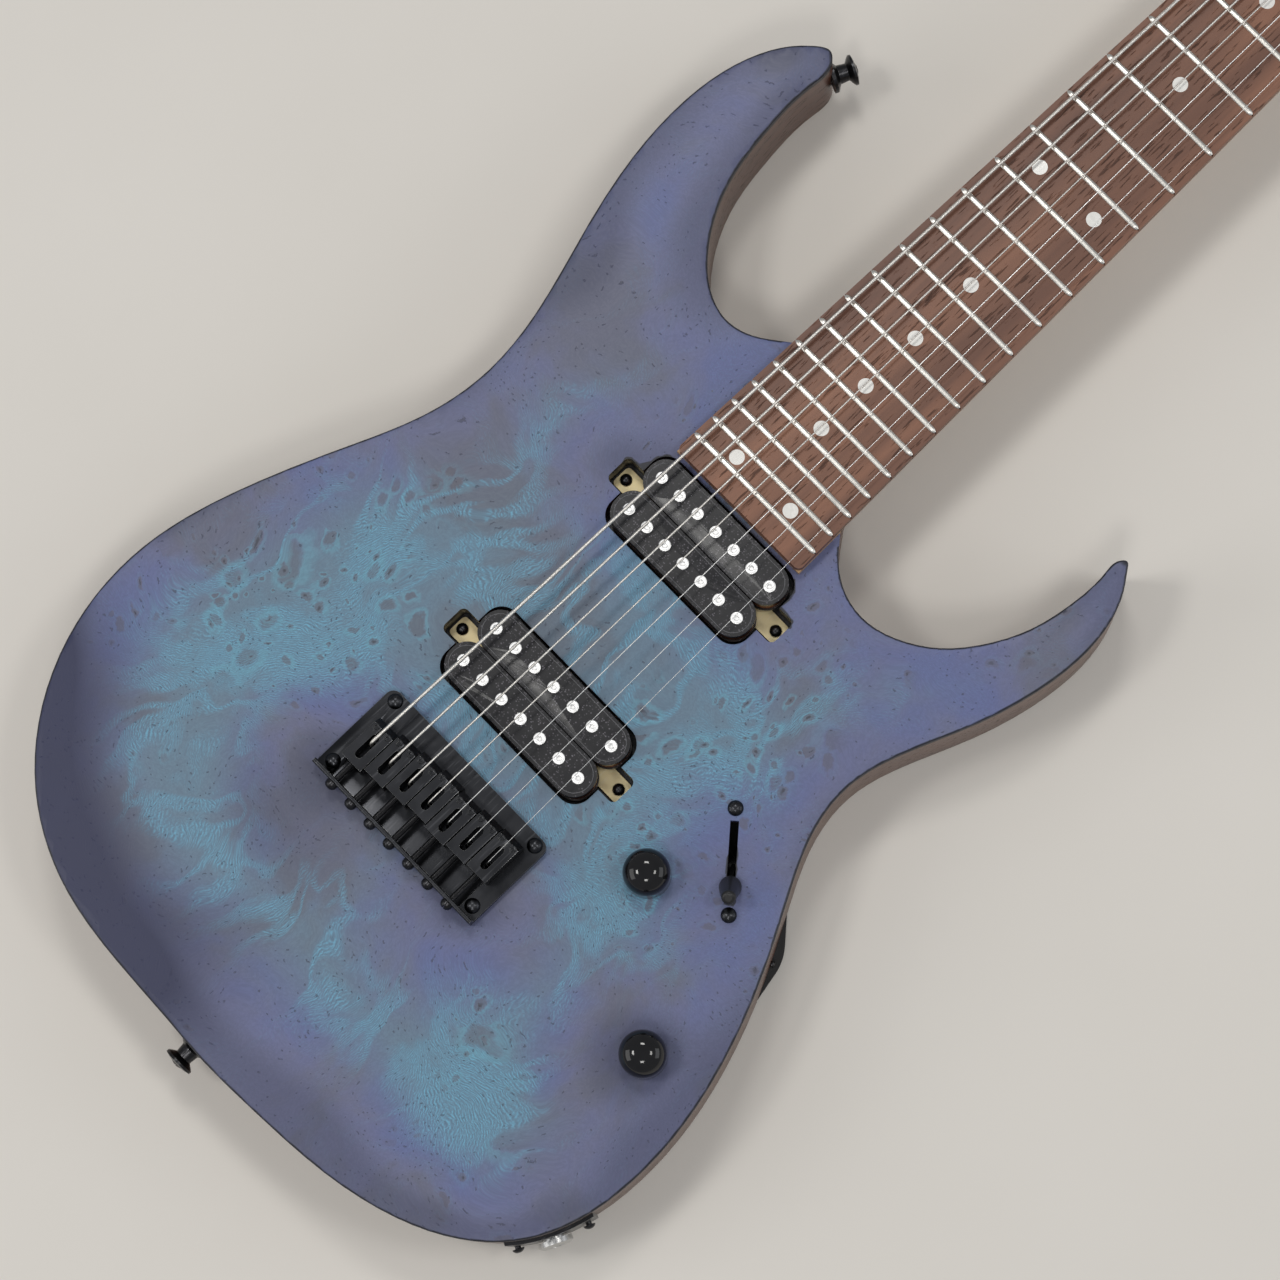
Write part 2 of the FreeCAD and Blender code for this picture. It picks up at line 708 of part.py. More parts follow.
def make_neck():
    shaft = Part.makeLoft([neck_section(x, depth) for x, depth in (
        (LAST_FRET_X + 6, S.neck_thick_body + 1.5),
        (LAST_FRET_X + 60, S.neck_thick_body + 0.8),
        (LAST_FRET_X + 110, S.neck_thick_body),
        (S.scale_long - 26, S.neck_thick_nut),
        (S.scale_long - 12, S.neck_thick_nut + 1.2),
        (S.scale_long - 2, S.neck_thick_nut + 2.6),
        (NUT_BACK_X + 3, S.neck_thick_nut + 1))], True, True)
    near = BOARD_END_X
    far = LAST_FRET_X + 62
    corners = [(near, -board_half(near)), (far, -board_half(far)),
               (far, board_half(far)), (near, board_half(near))]
    heel = slab(flat_face(corners), HEEL_BOTTOM, BOARD_BOTTOM)
    heel = heel.common(soft_slab(body_points(), [(HEEL_BOTTOM, 0.2), (BOARD_BOTTOM, 0.2)]))
    head = head_face().extrude(Vector(0, 0, -S.head_thick))
    neck = shaft.fuse([heel, on_head(head)])
    above = cuboid((BOARD_END_X, -60, BOARD_BOTTOM), (NUT_BACK_X + 20, 60, BOARD_TOP + 20))
    neck = neck.cut(above)
    hollows = []
    for along, across, _ in tuner_places():
        hollows.append(on_head(cylinder(BUSHING_OUT, S.head_thick + 2,
                                        (along, across, -S.head_thick - 1))))
    for at in tuner_screw_places():
        hollows.append(on_head(cylinder(TUNER_SCREW[0], 8.2, at - UP * 0.1)))
    for at in truss_screw_places():
        hollows.append(on_head(cylinder(TRUSS_SCREW[0], 8.2, at - UP * 8.1)))
    rod_room = slab(rounded_bar(11, ROD_ROOM_LONG, 5.4), -9, 1)
    rod_room.rotate(Vector(), UP, 90)
    rod_room.translate(Vector(ROD_ROOM_LONG / 2 - 3, 0, 0))
    hollows.append(on_head(rod_room))
    hollows.append(cuboid((LAST_FRET_X, -ROD_HALF, BOARD_BOTTOM - 8),
                          (NUT_BACK_X + 5, ROD_HALF, BOARD_TOP)))
    for x, y in NECK_SCREWS:
        hollows.append(cylinder(NECK_SCREW, 14, (LAST_FRET_X + x, y, HEEL_BOTTOM - 1)))
    piece(shaped("neck", neck.cut(hollows)), "neck")


def truss_screw_places():
    return [Vector(COVER_LONG - 4, 0, 0), Vector(7.5, -9.5, 0), Vector(7.5, 9.5, 0)]


def make_truss_rod():
    """Rod in its channel under the fretboard, with its nut at the headstock."""
    middle = "body_thick + board_proud - board_thick - 4.2"
    lying = Rotation(ACROSS, 90)
    steel = rod("rod_steel", lying, Radius="2.8", Height="scale_long * 0.75 - 12",
                Base_x="scale_long / 4 + 8", Base_z=middle)
    nut = rod("rod_nut", lying, "Part::Prism", Circumradius="3", Height="10",
              Base_x="scale_long - 4", Base_z=middle)
    key = rod("rod_key", lying, Radius="1.6", Height="6", Base_x="scale_long + 2",
              Base_z=middle)
    piece(cut("truss_rod", joined("rod_and_nut", [steel, nut]), [key]), "truss_rod")


def make_truss_cover():
    """Cover over the rod's nut: wide at the string nut, narrow at the tip."""
    wide = 8.0
    near = 9.0
    far = COVER_LONG - 6
    face = grown([(near, -wide), (near, wide), (far, 1.5), (far, -1.5)], 5)
    plate = slab(face, 0, COVER_THIN)
    holes = [cylinder(TRUSS_SCREW[0] + HOLE_PLAY, 4, at - UP) for at in truss_screw_places()]
    piece(shaped("truss_rod_cover", plate.cut(holes), HEAD_PLACE), "truss_rod_cover")


DOT_APART = 15.0
NUT_PROUD = 2.4
STRING_OVER_NUT = 0.5


def make_fretboard():
    near = BOARD_END_X
    far = S.scale_long
    corners = [(near, -board_half(near)), (far, -board_half(far)),
               (far, board_half(far)), (near, board_half(near))]
    plank = slab(flat_face(corners), BOARD_BOTTOM, BOARD_TOP + 1)
    ends = [edge for edge in plank.Edges
            if abs(edge.CenterOfMass.x - near) < 0.01 and abs(edge.CenterOfMass.y) > 10
            and edge.Length < 20]
    plank = plank.makeFillet(2.5, ends)
    arch = cylinder(S.board_round, far, (near - 5, 0, BOARD_TOP - S.board_round), ALONG)
    plank = plank.common(arch)
    crowns = []
    slots = []
    for number in range(1, FRETS + 1):
        x = fret_line(number)
        crowns.append(fret_wire(x, 0, S.fret_tall))
        slots.append(fret_wire(x, 1.0, 0))
    dots = []
    for number in SINGLE_DOTS + DOUBLE_DOTS:
        x = (fret_line(number) + fret_line(number - 1)) / 2
        sides = (-DOT_APART, DOT_APART) if number in DOUBLE_DOTS else (0,)
        for y in sides:
            dots.append(cylinder(S.dot_wide / 2, 4, (x, y, BOARD_TOP - 2)))
        for turn in range(len(sides)):
            at = (x + (turn - (len(sides) - 1) / 2) * 5, board_half(x) - 2, BOARD_TOP - 3.2)
            dots.append(cylinder(1.0, 4, at, ACROSS))
    group("fret_markers", [dot.common(plank) for dot in dots])
    piece(shaped("fretboard", plank.cut(dots + slots)), "fretboard")
    group("frets", crowns)


def fret_wire(x, above, crown):
    """One fret bent to the fretboard's arch, or only its slot."""
    half = S.tang_wide / 2
    low = S.board_round - S.tang_deep
    axis_z = BOARD_TOP - S.board_round
    side = [Vector(x - half, 0, low), Vector(x - half, 0, S.board_round + above)]
    edges = [Part.LineSegment(*side).toShape()]
    if crown:
        wide = S.fret_wide / 2
        left = Vector(x - wide, 0, S.board_round)
        right = Vector(x + wide, 0, S.board_round)
        top = Vector(x, 0, S.board_round + crown)
        edges.append(Part.LineSegment(side[1], left).toShape())
        edges.append(Part.Arc(left, top, right).toShape())
        edges.append(Part.LineSegment(right, Vector(x + half, 0, S.board_round)).toShape())
    else:
        edges.append(Part.LineSegment(side[1], Vector(x + half, 0, side[1].z)).toShape())
    last = Vector(x + half, 0, S.board_round + (0 if crown else above))
    foot = Vector(x + half, 0, low)
    edges.append(Part.LineSegment(last, foot).toShape())
    edges.append(Part.LineSegment(foot, side[0]).toShape())
    section = Part.Face(Part.Wire(edges))
    reach = board_half(x) - (0.6 if crown else -2)
    turn = math.degrees(math.asin(reach / S.board_round))
    section.rotate(Vector(), ALONG, turn)
    section.translate(Vector(0, 0, axis_z))
    return section.revolve(Vector(0, 0, axis_z), ALONG, -2 * turn)


def nut_string_z(number):
    """Height of a string's middle where it crosses the nut."""
    y = string_y(number, S.scale_long)
    return BOARD_TOP - crown_drop(y) + S.fret_tall + STRING_OVER_NUT + STRING_SIZES[number] / 2


def make_nut():
    half = S.nut_wide / 2
    blank = cuboid((S.scale_long, -half, BOARD_BOTTOM), (NUT_BACK_X, half, BOARD_TOP + 5))
    arch = cylinder(S.board_round, 20,
                    (S.scale_long - 5, 0, BOARD_TOP + NUT_PROUD - S.board_round), ALONG)
    blank = blank.common(arch)
    slots = []
    for number, thick in enumerate(STRING_SIZES):
        y = string_y(number, S.scale_long)
        wide = thick / 2 + S.turn_gap
        low = nut_string_z(number) - wide
        slots.append(cuboid((S.scale_long - 1, y - wide - 0.1, low),
                            (NUT_BACK_X + 1, y + wide + 0.1, BOARD_TOP + 6)))
    piece(shaped("nut", blank.cut(slots)), "nut")


# ---- bridge ----

def bridge_string_z(number):
    """Height of a string's middle where it leaves its saddle."""
    y = string_y(number, 0)
    return S.body_thick + S.string_rise - crown_drop(y) + STRING_SIZES[number] / 2


PLATE_SIDE = (STRINGS - 1) / 2 * S.string_pitch + S.plate_side
SCREW_INSET = 4.8
WELL_INSET = 8.2
TUNE_Z = PLATE_TOP + 4.0
SLOT_BACK = 3.0
SLOT_FRONT = 14.6
CREST = 15.6
HEIGHT_SCREW = 1.35
HEIGHT_SCREW_SIDE = 3.15


def plate_box(name, long, back, side, height, low):
    """A box of the bridge, centred across the strings."""
    return block(name, Length=long, Width=f"2 * ({side})", Height=height,
                 Base_x=back, Base_y=f"-({side})", Base_z=low)


def make_bridge_plate():
    """Plate with a raised back lip and a sunk floor under the saddles."""
    side = f"{(STRINGS - 1) / 2} * string_pitch + plate_side"
    base = plate_box("bridge_base", "plate_front + plate_back", "-plate_back", side,
                     "plate_thick", "body_thick")
    lip = plate_box("bridge_lip", "lip_thick", "-plate_back", side, "lip_tall", "body_thick")
    plate = joined("bridge_blank", [base, lip])
    plate = softened("bridge_corners", plate, 4.0,
                     lambda edge: edge.BoundBox.XMin > S.plate_front - 0.01
                     and edge.BoundBox.ZLength > S.plate_thick - 0.01)
    plate = softened("bridge_rims", plate, 0.7,
                     lambda edge: edge.BoundBox.ZMin > S.body_thick + S.lip_tall - 0.01
                     and edge.Length > 20)
    well = plate_box("bridge_well", "plate_back - lip_thick + 2.2 - string_hole_at",
                     "lip_thick - plate_back", f"{side} - {WELL_INSET}", "well_deep + 1",
                     "body_thick + plate_thick - well_deep")
    hollows = [well]
    for number in range(STRINGS):
        hole_y = string_y(number, -S.string_hole_at)
        hole = rod(f"string_hole_{number + 1}", Radius=str(STRING_BORE), Height="6",
                   Base_x="-string_hole_at", Base_z="body_thick - 1")
        hole.Placement.Base.y = hole_y
        bore = rod(f"tune_bore_{number + 1}", Rotation(ACROSS, 90),
                   Radius="tune_screw + turn_gap", Height="6",
                   Base_x="-plate_back - 1", Base_z="body_thick + plate_thick + 4")
        bore.Placement.Base.y = saddle_y(number)
        hollows += [hole, bore]
    for number, (x, y) in enumerate(bridge_screw_places(), start=1):
        hole = rod(f"plate_screw_{number}", Radius="1.6", Height="6",
                   Base_z="body_thick - 1")
        hole.Placement.Base.x = x
        hole.Placement.Base.y = y
        hollows.append(hole)
    piece(cut("bridge_plate", plate, hollows), "bridge_plate")


def make_saddle(number):
    """Saddle block with its two height screws, drawn from its back end."""
    name = f"saddle_{number + 1}"
    back = -SADDLE_BACKS[number]
    middle = saddle_y(number)
    half = (S.string_pitch - S.saddle_gap) / 2
    thick = STRING_SIZES[number]
    top = bridge_string_z(number) + 0.1
    low = PLATE_TOP + 0.8
    profile = [(0, low), (S.saddle_long - 1.5, low), (S.saddle_long, low + 1.5),
               (S.saddle_long, top - 3.2), (S.saddle_long - 2.6, top), (0, top)]
    face = Part.Face(Part.makePolygon([Vector(x, 0, z) for x, z in profile + profile[:1]]))
    blank = face.extrude(Vector(0, 2 * half, 0))
    blank.translate(Vector(back, middle - half, 0))
    slot_half = S.slot_wide / 2
    centre = Vector(back, middle, 0)
    slot = slab(rounded_bar(S.slot_wide, SLOT_FRONT - SLOT_BACK, slot_half - 0.01),
                low - 1, top + 1)
    slot.rotate(Vector(), UP, 90)
    slot.translate(centre + Vector((SLOT_BACK + SLOT_FRONT) / 2, 0, 0))
    groove_low = bridge_string_z(number) - thick / 2 - 0.08
    groove = cuboid((back + SLOT_FRONT - 2, middle - thick / 2 - 0.35, groove_low),
                    (back + S.saddle_long + 1, middle + thick / 2 + 0.35, top + 1))
    bore = cylinder(S.tune_screw + S.turn_gap, SLOT_BACK + 3, (back - 1, middle, TUNE_Z),
                    ALONG)
    hollows = [slot, groove, bore]
    screws = []
    for side in (-1, 1):
        at = (back + CREST + 1.2, middle + side * HEIGHT_SCREW_SIDE, PLATE_TOP)
        screw = cylinder(HEIGHT_SCREW, top + 0.3 - PLATE_TOP, at)
        key = cylinder(HEIGHT_SCREW / 2, 1.6, (at[0], at[1], top - 1.0))
        hollows.append(cylinder(HEIGHT_SCREW, top - PLATE_TOP + 3, at))
        screws.append(screw.cut(key))
    group(name, [blank.cut(hollows)] + screws)


TUNE_HEAD = 2.6


def make_tune_screw(number):
    """Domed screw through the lip into the saddle's tail."""
    long = S.plate_back - SADDLE_BACKS[number] + SLOT_BACK + 1.2
    y = saddle_y(number)
    seat = Vector(-S.plate_back, y, TUNE_Z)
    out = Vector(-1, 0, 0)
    shank = cylinder(S.tune_screw, long, seat, ALONG)
    head = cylinder(TUNE_HEAD, 1.4, seat, out)
    dome = Part.makeSphere(3.2, seat + ALONG * 0.2)
    dome = dome.common(cylinder(TUNE_HEAD, 3.4, seat, out))
    slot = cuboid(seat + Vector(-4, -0.35, -3), seat + Vector(-2, 0.35, 3))
    screw = shank.fuse([head, dome]).cut(slot)
    name = f"intonation_screw_{number + 1}"
    piece(shaped(name, screw), name)


def domed_screw(at, out, head, shank, long, tall=2.1):
    """Wood screw with a domed cross head; 'at' is under its head."""
    stem = cylinder(shank, long, at, out * -1)
    cap = cylinder(head, 0.8, at, out)
    dome_round = 1.35 * head
    centre = at + out * (tall - dome_round)
    dome = Part.makeSphere(dome_round, centre).common(cylinder(head, 2.4, at, out))
    screw = stem.fuse([cap, dome])
    side = out.cross(ALONG if abs(out.x) < 0.9 else ACROSS).normalize()
    arms = []
    for direction in (side, out.cross(side)):
        arm = Part.makeBox(head, 0.7, 2.0, Vector(-head / 2, -0.35, 0))
        turn = Rotation(direction, out.cross(direction), out, "ZXY")
        arm.Placement = Placement(at + out * (tall - 0.9), turn)
        arms.append(arm)
    return screw.cut(arms)


def screw_at(at, out, kind, tall=2.1):
    """A domed screw of a kind from the table of screws."""
    shank, head, long = kind
    return domed_screw(at, out, head, shank, long, tall)


def make_screws():
    top_screws = []
    for x, y in bridge_screw_places():
        top_screws.append(screw_at(Vector(x, y, PLATE_TOP), UP, BRIDGE_SCREW))
    for at in selector_screw_places():
        top_screws.append(screw_at(at + UP * S.body_thick, UP, SELECTOR_SCREW))
    group("top_screws", top_screws)
    small = []
    for at in cover_screw_places():
        small.append(screw_at(at + UP * S.cover_sunk, UP * -1, COVER_SCREW, 1.7))
    for at in truss_screw_places():
        small.append(on_head(screw_at(at + UP * COVER_THIN, UP, TRUSS_SCREW)))
    for at in tuner_screw_places():
        small.append(on_head(screw_at(at - UP * LUG_THICK, UP * -1, TUNER_SCREW)))
    for at in jack_screw_places():
        small.append(screw_at(at + JACK_OUT * (JACK_PLATE + 0.8), JACK_OUT, JACK_SCREW))
    group("small_screws", small)


NECK_HEAD = 4.2
NECK_RECESS = 4.4
INTO_NECK = 12.0


def make_neck_screws():
    """Four long screws, each through a turned ring set flush in the back."""
    joint = []
    for x, y in NECK_SCREWS:
        at = Vector(LAST_FRET_X + x, y, 0)
        ring = cylinder(FERRULE, FERRULE_SEAT, at).cut(cylinder(NECK_SCREW, 9, at - UP))
        joint.append(ring.cut(cylinder(NECK_RECESS, 1.6, at)))
        shank = cylinder(NECK_SCREW, HEEL_BOTTOM + INTO_NECK - 0.5, at + UP * 0.5)
        cross = cuboid((-2.4, -0.5, -1), (2.4, 0.5, 1.1))
        cross = cross.fuse(cuboid((-0.5, -2.4, -1), (0.5, 2.4, 1.1)))
        cross.translate(at)
        head = cylinder(NECK_HEAD, 1.4, at + UP * 0.2)
        joint.append(shank.fuse(head).cut(cross))
    group("neck_screws", joint)


LUG_THICK = 2.0
JACK_PLATE = 1.5


def make_string_ferrules():
    ferrule = turned("ferrule", [
        ("2.25", "0"), ("4.4", "0"), ("4.4", "1.4"), ("3.2", "1.4"), ("3.2", "12"),
        ("1.1", "12"), ("1.1", "8"), ("2.25", "8")])
    DOC.recompute()
    ferrules = []
    for number in range(STRINGS):
        copy = ferrule.Shape.copy()
        copy.translate(Vector(-S.string_hole_at, string_y(number, -S.string_hole_at), 0))
        ferrules.append(copy)
    group("string_ferrules", ferrules)


# ---- pickups ----

MAGNET_TALL = 3.0
POLE_HEAD = 2.5
POLE_SHANK = 1.5
POLE_KEY = 1.2
POLE_PROUD = 0.4
POLE_SUNK = 1.2
FLANGE_LOW = 1.5
FLANGE_HIGH = 2.5
BASE_TOP = PICKUP_FLOOR + S.base_thick
BOBBIN_LOW = BASE_TOP + MAGNET_TALL
BOBBIN_TOP = PICKUP_FLOOR + S.bobbin_tall


def pickup_base(pickup_x, pitch):
    """Baseplate with an ear at each end, and the two screws in its ears."""
    wide = S.row_gap + S.bobbin_wide - 3
    base = slab(rounded_bar(wide, bobbin_long(pitch) - 3, 6), PICKUP_FLOOR, BASE_TOP)
    ears = slab(rounded_bar(EAR_WIDE, 2 * (ear_y(pitch) + EAR_PAST), EAR_CORNER),
                PICKUP_FLOOR, BASE_TOP)
    base = base.fuse(ears).removeSplitter()
    base.translate(Vector(pickup_x, 0, 0))
    places = [Vector(pickup_x, side * ear_y(pitch), BASE_TOP) for side in (-1, 1)]
    base = base.cut([cylinder(EAR_SCREW[0], 4, at - UP * 3) for at in places])
    return base, [screw_at(at, UP, EAR_SCREW) for at in places]


def pole_screw(x, y):
    shank = cylinder(POLE_SHANK, BOBBIN_TOP - BASE_TOP - POLE_SUNK, (x, y, BASE_TOP))
    at = Vector(x, y, BOBBIN_TOP - POLE_SUNK)
    head = cylinder(POLE_HEAD, POLE_SUNK + POLE_PROUD, at)
    return shank.fuse(head).cut(cylinder(POLE_KEY, 2, at + UP * 0.7))


def bobbin_and_winding(middle_x, pitch):
    """One bobbin, bored for its poles, and the wire wound on its core."""
    long = bobbin_long(pitch)
    flange = rounded_bar(S.bobbin_wide, long, S.bobbin_wide / 2 - 0.6)
    core = slab(rounded_bar(7, long - 8, 3.4), BOBBIN_LOW, BOBBIN_TOP)
    bobbin = core.fuse([slab(flange, BOBBIN_LOW, BOBBIN_LOW + FLANGE_LOW),
                        slab(flange, BOBBIN_TOP - FLANGE_HIGH, BOBBIN_TOP)])
    winding = slab(rounded_bar(S.bobbin_wide - 1.6, long - 1.6, 7.2),
                   BOBBIN_LOW + FLANGE_LOW, BOBBIN_TOP - FLANGE_HIGH).cut(core)
    bobbin.translate(Vector(middle_x, 0, 0))
    winding.translate(Vector(middle_x, 0, 0))
    holes = []
    for y in pole_row(pitch):
        holes.append(cylinder(POLE_SHANK, S.bobbin_tall, (middle_x, y, BASE_TOP)))
        holes.append(cylinder(POLE_HEAD, 3, (middle_x, y, BOBBIN_TOP - POLE_SUNK)))
    return bobbin.cut(holes).removeSplitter(), winding


def make_pickups():
    """Two double-coil pickups, screwed straight into the wood by their ears."""
    bobbins = []
    coils = []
    poles = []
    bases = []
    screws = []
    for pickup_x, pitch in PICKUPS.values():
        base, ear_screws = pickup_base(pickup_x, pitch)
        bases.append(base)
        screws += ear_screws
        half = bobbin_long(pitch) / 2 - 8
        coils.append(cuboid((pickup_x - 6, -half, BASE_TOP), (pickup_x + 6, half, BOBBIN_LOW)))
        for side in (-0.5, 0.5):
            middle_x = pickup_x + side * S.row_gap
            bobbin, winding = bobbin_and_winding(middle_x, pitch)
            bobbins.append(bobbin)
            coils.append(winding)
            poles += [pole_screw(middle_x, y) for y in pole_row(pitch)]
    group("pickup_bobbins", bobbins)
    group("pickup_coils", coils)
    group("pickup_poles", poles)
    group("pickup_bases", bases)
    group("pickup_screws", screws)


# ---- controls ----

CASE_TALL = 9.0
SHAFT_FOOT = 6.8
KNOB_LIFT = 0.6
KNOB_ROOF = 4.0


def hexagon(across_corners):
    reach = across_corners / 2
    turns = [math.radians(60 * step) for step in range(7)]
    return Part.Face(Part.makePolygon([
        Vector(reach * math.cos(turn), reach * math.sin(turn), 0) for turn in turns]))


def make_pots():
    """Potentiometers under the wood, each with its bushing and nut."""
    case = turned("pot_case", [
        ("shaft_radius + turn_gap", "8"), ("10.5", "8"), ("10.5", "1"), ("0", "1"), ("0", "0"),
        ("pot_wide / 2", "0"), ("pot_wide / 2", "9"), ("4.75", "9"),
        ("4.75", "9 + ceiling_thick + 3"), ("shaft_radius + turn_gap", "9 + ceiling_thick + 3")])
    DOC.recompute()
    solids = []
    for control in (VOLUME, TONE):
        copy = case.Shape.copy()
        copy.translate(control + UP * (CEILING - CASE_TALL))
        nut = slab(hexagon(NUT_WIDE), S.body_thick, S.body_thick + NUT_TALL)
        nut.translate(control)
        bore = cylinder(BUSHING, 9, control + UP * (S.body_thick - 1))
        solids += [copy, nut.cut(bore)]
    group("pots", solids)


def make_knob(label, control):
    """Domed knob pressed on its shaft; hollow below to clear the nut."""
    knob = turned(label + "_cap", [
        ("8", "0"), ("knob_wide / 2", "0"), ("knob_wide / 2 - 0.3", "knob_tall"),
        ("0", "knob_tall"), ("0", "knob_tall - 4"), ("shaft_radius", "knob_tall - 4"),
        ("shaft_radius", "4"), ("8", "4")])
    knob = softened(label + "_dome", knob, S.knob_wide * 0.4,
                    lambda edge: edge.BoundBox.ZMin > S.knob_tall - 0.01
                    and edge.BoundBox.XLength > S.shaft_radius * 3)
    knob.Placement.Base = control + UP * (S.body_thick + KNOB_LIFT)
    reach = SHAFT_FOOT + KNOB_LIFT - KNOB_ROOF
    shaft = rod(label + "_shaft", Radius="shaft_radius",
                Height=f"ceiling_thick + knob_tall + {reach}",
                Base_z=f"body_thick - ceiling_thick - {SHAFT_FOOT}")
    shaft.Placement.Base.x = control.x
    shaft.Placement.Base.y = control.y
    together = DOC.addObject("Part::Compound", label)
    together.Links = [knob, shaft]
    piece(together, label)


PIVOT_Z = CEILING - 16.0
PIVOT_PIN = 1.5
LEVER_TOP = 43.0
LEVER_HUB = 3.6
LEVER_HALF = 2.5
BLADE_HALF = 0.8
BLADE_LONG = 34.0
CAP_WIDE = 4.4
CAP_TIP = 2.7
CAP_TALL = 14.0
CAP_SKIRT = 1.5
CAP_ROUND = 1.6
FRAME_HALF = 20.0
CHEEK_OUT = 4.6
CHEEK_HALF = 0.6
CHEEK_FOOT = 12.0
FRAME_THIN = 1.5


def in_slot_frame(shape):
    """From the selector's own frame, slot along X, to its place."""
    turn = math.degrees(math.atan2(SLOT_LINE.y, SLOT_LINE.x))
    shape.rotate(Vector(), UP, turn)
    shape.translate(SELECTOR)
    return shape


def make_selector_frame():
    """Bent steel frame under the slot, with its pin and its contact board."""
    half = (S.selector_long + 8) / 2
    under = CEILING - FRAME_THIN
    plate = cuboid((-half, -6, under), (half, 6, CEILING))
    cheeks = [cuboid((-FRAME_HALF, side * CHEEK_OUT - CHEEK_HALF, CHEEK_FOOT),
                     (FRAME_HALF, side * CHEEK_OUT + CHEEK_HALF, under)) for side in (-1, 1)]
    pin = cylinder(PIVOT_PIN, 2 * CHEEK_OUT, (0, -CHEEK_OUT, PIVOT_Z), ACROSS)
    holes = [cuboid((-LEVER_ROOM, -LEVER_SLOT, CEILING - 2),
                    (LEVER_ROOM, LEVER_SLOT, CEILING + 1))]
    for share in (0.5, -0.5):
        at = (S.selector_long * share, 0, CEILING - 3)
        holes.append(cylinder(SELECTOR_SCREW[0], 4, at))
    frame = plate.fuse(cheeks + [pin]).cut(holes)
    board = cuboid((-FRAME_HALF, CHEEK_OUT + CHEEK_HALF, 10), (FRAME_HALF, 6.8, CEILING - 3))
    group("selector_frame", [in_slot_frame(frame), in_slot_frame(board)])


def make_selector_lever():
    """Blade on a hub, tilted to one end of its slot, with a tapered cap."""
    hub = cylinder(LEVER_HUB, 2 * LEVER_HALF, (0, -LEVER_HALF, PIVOT_Z), ACROSS)
    blade = cuboid((-LEVER_HALF, -BLADE_HALF, PIVOT_Z),
                   (LEVER_HALF, BLADE_HALF, PIVOT_Z + BLADE_LONG))
    bore = cylinder(PIVOT_PIN + S.turn_gap, 9, (0, -4.5, PIVOT_Z), ACROSS)
    lever = hub.fuse(blade).cut(bore)
    cap_low = PIVOT_Z + LEVER_TOP - CAP_TALL - CAP_SKIRT
    cap = Part.makeCone(CAP_WIDE, CAP_TIP, CAP_TALL, Vector(0, 0, cap_low))
    cap = cap.fuse(cylinder(CAP_WIDE, CAP_SKIRT, (0, 0, cap_low - CAP_SKIRT)))
    cap = cap.removeSplitter()
    tip = [edge for edge in cap.Edges if edge.BoundBox.ZMin > cap_low + CAP_TALL - 0.1]
    cap = cap.makeFillet(CAP_ROUND, tip).cut(blade)
    for part in (lever, cap):
        part.rotate(Vector(0, 0, PIVOT_Z), ACROSS, -S.lever_tilt)
        in_slot_frame(part)
    group("selector_lever", [lever, cap])


COVER_PLAY = 0.2


def make_control_cover():
    face = grown(CONTROL_CORNERS, S.cavity_reach + S.cover_ledge - COVER_PLAY)
    cover = slab(face, S.cover_sunk, S.cover_sunk + S.cover_thick)
    holes = [cylinder(COVER_SCREW[0] + HOLE_PLAY, 9, at) for at in cover_screw_places()]
    piece(shaped("control_cover", cover.cut(holes)), "control_cover")


# ---- output jack and strap buttons ----

PLATE_WIDE = 36.0
PLATE_HIGH = 32.0
SOCKET_BARREL = 16.0
SOCKET_OUT = 0.7


def make_jack_plate():
    """Sheet bent to the body's edge, cut to a rectangle round the socket."""
    along = Vector(-JACK_OUT.y, JACK_OUT.x, 0)
    window = Part.makeBox(PLATE_WIDE, 40, PLATE_HIGH,
                          Vector(-PLATE_WIDE / 2, -20, -PLATE_HIGH / 2))
    window.Placement = Placement(JACK, Rotation(along, UP.cross(along), UP, "ZXY"))
    outer = soft_slab(body_points(), [(1, -JACK_PLATE), (S.body_thick - 1, -JACK_PLATE)])
    plate = outer.cut(PLAIN_BODY).common(window)
    holes = [cylinder(4.7, 40, JACK - JACK_OUT * 20, JACK_OUT)]
    for at in jack_screw_places():
        holes.append(cylinder(JACK_SCREW[0] + HOLE_PLAY, 40, at - JACK_OUT * 20, JACK_OUT))
    piece(shaped("jack_plate", plate.cut(holes)), "jack_plate")


def make_jack_socket():
    socket = turned("socket", [
        ("plug_radius", "0"), ("8", "0"), ("8", "3"), ("4.65", "3"), ("4.65", "16"),
        ("7", "16"), ("7", "18"), ("5.2", "19"), ("plug_radius", "19")])
    DOC.recompute()
    start = JACK - JACK_OUT * (SOCKET_BARREL - JACK_PLATE - SOCKET_OUT)
    barrel = socket.Shape.copy()
    barrel.Placement = Placement(start, Rotation(UP, JACK_OUT))
    strip = Part.makeBox(20, 5, 0.6, Vector(-20, -2.5, 5.0))
    strip.Placement = Placement(start, Rotation(JACK_OUT, UP.cross(JACK_OUT), UP, "XYZ"))
    group("jack_socket", [barrel, strip])


def make_strap_buttons():
    button = turned("strap_button", [
        ("2", "0"), ("6.8", "0"), ("6.8", "1.4"), ("4", "3.2"), ("3.6", "7"), ("5.4", "8.2"),
        ("6.4", "9"), ("6.4", "10"), ("4.2", "10.6"), ("4.2", "9.4"), ("2", "9.4")])
    DOC.recompute()
    solids = []
    for seat, out in strap_places():
        copy = button.Shape.copy()
        copy.Placement = Placement(seat, Rotation(UP, out))
        solids += [copy, screw_at(seat + out * 9.4, out, STRAP_SCREW)]
    group("strap_buttons", solids)


# ---- tuners ----

